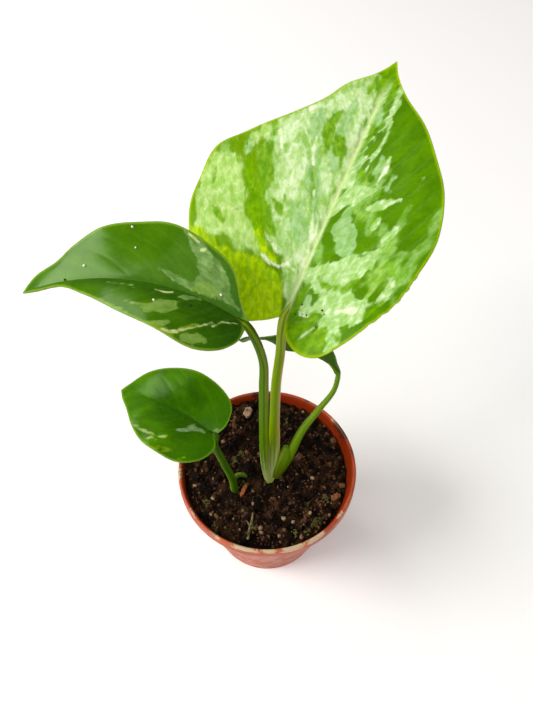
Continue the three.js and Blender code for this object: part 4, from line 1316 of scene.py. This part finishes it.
chipCorners = [(-1, -0.5), (-0.6, -1), (0.7, -0.8), (1, 0.2), (0.5, 1), (-0.8, 0.7)]
chips = {
    "chip_orange": {"at": (-7.8, -7.9), "size": (5.4, 1.4, 1.2), "turn": 66, "tints": ("#9a5a2c", "#5c2c12")},
    "chip_pink": {"at": (-6.9, 21.6), "size": (4.4, 3, 1.4), "turn": 62, "tints": ("#b8937a", "#7a5844")},
    "chip_right": {"at": (23, -9), "size": (3.8, 2.4, 1.3), "turn": 20, "tints": ("#8f5a3a", "#4c2818")},
    "chip_brown": {"at": (10.8, 4.6), "size": (3.2, 2.2, 1.2), "turn": 40, "tints": ("#6b4a34", "#38241a")},
    "twig": {"at": (-5.4, -19.8), "size": (9.5, 1, 1), "turn": 80, "tints": ("#86744c", "#4c3c24")},
}


def barkChip(a, b, height):
    # a flake with rounded, splintered edges: a prism, bevelled, cut finer and roughened
    bm = bmesh.new()
    lower = bm.faces.new([bm.verts.new((px * a, py * b, -height / 2)) for px, py in chipCorners])
    made = bmesh.ops.extrude_face_region(bm, geom=[lower])
    bmesh.ops.translate(bm, verts=vertsIn(made), vec=(0, 0, height))
    bmesh.ops.recalc_face_normals(bm, faces=bm.faces)
    bmesh.ops.bevel(bm, geom=bm.edges[:], offset=0.16, segments=2, affect="EDGES", profile=0.5, material=-1)
    bmesh.ops.subdivide_edges(bm, edges=bm.edges[:], cuts=3, use_grid_fill=True)
    bmesh.ops.triangulate(bm, faces=bm.faces)
    for v in bm.verts:
        layered = noise.noise((v.co.x * 0.6, v.co.y * 2.2, v.co.z * 5 + 4))
        v.co += Vector(v.co).normalized() * (0.12 * layered - 0.05)
    return bm


def knobbly(angle, run):
    return 1 + 0.1 * np.sin(3 * angle + run) + 0.08 * np.sin(5.1 * run)


def twigBody(half, radius):
    bm = bmesh.new()
    main = [[-half, 0, 0, radius], [-half * 0.4, 0.15, 0.05, radius * 0.9],
            [half * 0.3, -0.1, 0.1, radius * 0.8], [half, 0.1, 0.05, radius * 0.55]]
    fork = [[-half * 0.1, 0, 0.05, radius * 0.6], [half * 0.15, 0.9, 0.15, radius * 0.5],
            [half * 0.35, 1.7, 0.1, 0.15]]
    for points, sides in ((main, 20), (fork, 12)):
        rollTube(bm, points, sides, 50, knobbly)
    return bm


for name, chip in chips.items():
    long, wide, high = chip["size"]
    body = twigBody(long / 2, wide / 2) if name == "twig" else barkChip(long / 2, wide / 2, high)
    x, y = chip["at"]
    at = Matrix.Translation((x, y, soilHeight(x, y) + 0.15 * high))
    turn = Matrix.Rotation(math.radians(chip["turn"]), 4, "Z")
    setField(body, "tint", 0.2)
    bmesh.ops.transform(body, matrix=at @ turn, verts=body.verts)
    if name == "twig":
        closeSeams(body)
    bark = dryStuff(name + " bark", *chip["tints"], 0.85)
    makePiece(name + "_bark", body, [bark], [name])


def fibreField():
    bm = bmesh.new()
    for _ in range(soil["fibres"]):
        start = onSoil(4)
        turn, length = random.uniform(0, 6.3), random.uniform(2.5, 8)
        points = []
        for k in range(4):
            turn += random.uniform(-0.6, 0.6)
            x, y = start.x + length * k / 4 * math.cos(turn), start.y + length * k / 4 * math.sin(turn)
            inside = min(1, (soilReach - 1.5) / max(0.1, math.hypot(x, y)))
            place = onSurface(x * inside, y * inside, random.uniform(0.2, 0.8))
            points.append([*place, random.uniform(0.07, 0.14)])
        first = len(bm.verts)
        rollTube(bm, points, 6, 14)
        setField(bm, "tint", random.random(), first)
    return closeSeams(bm)


makePiece("soil_fibres", fibreField(), [dryStuff("root fibre", "#60442a", "#2c1c10", 0.8, 1.5)])
print("the litter is laid")
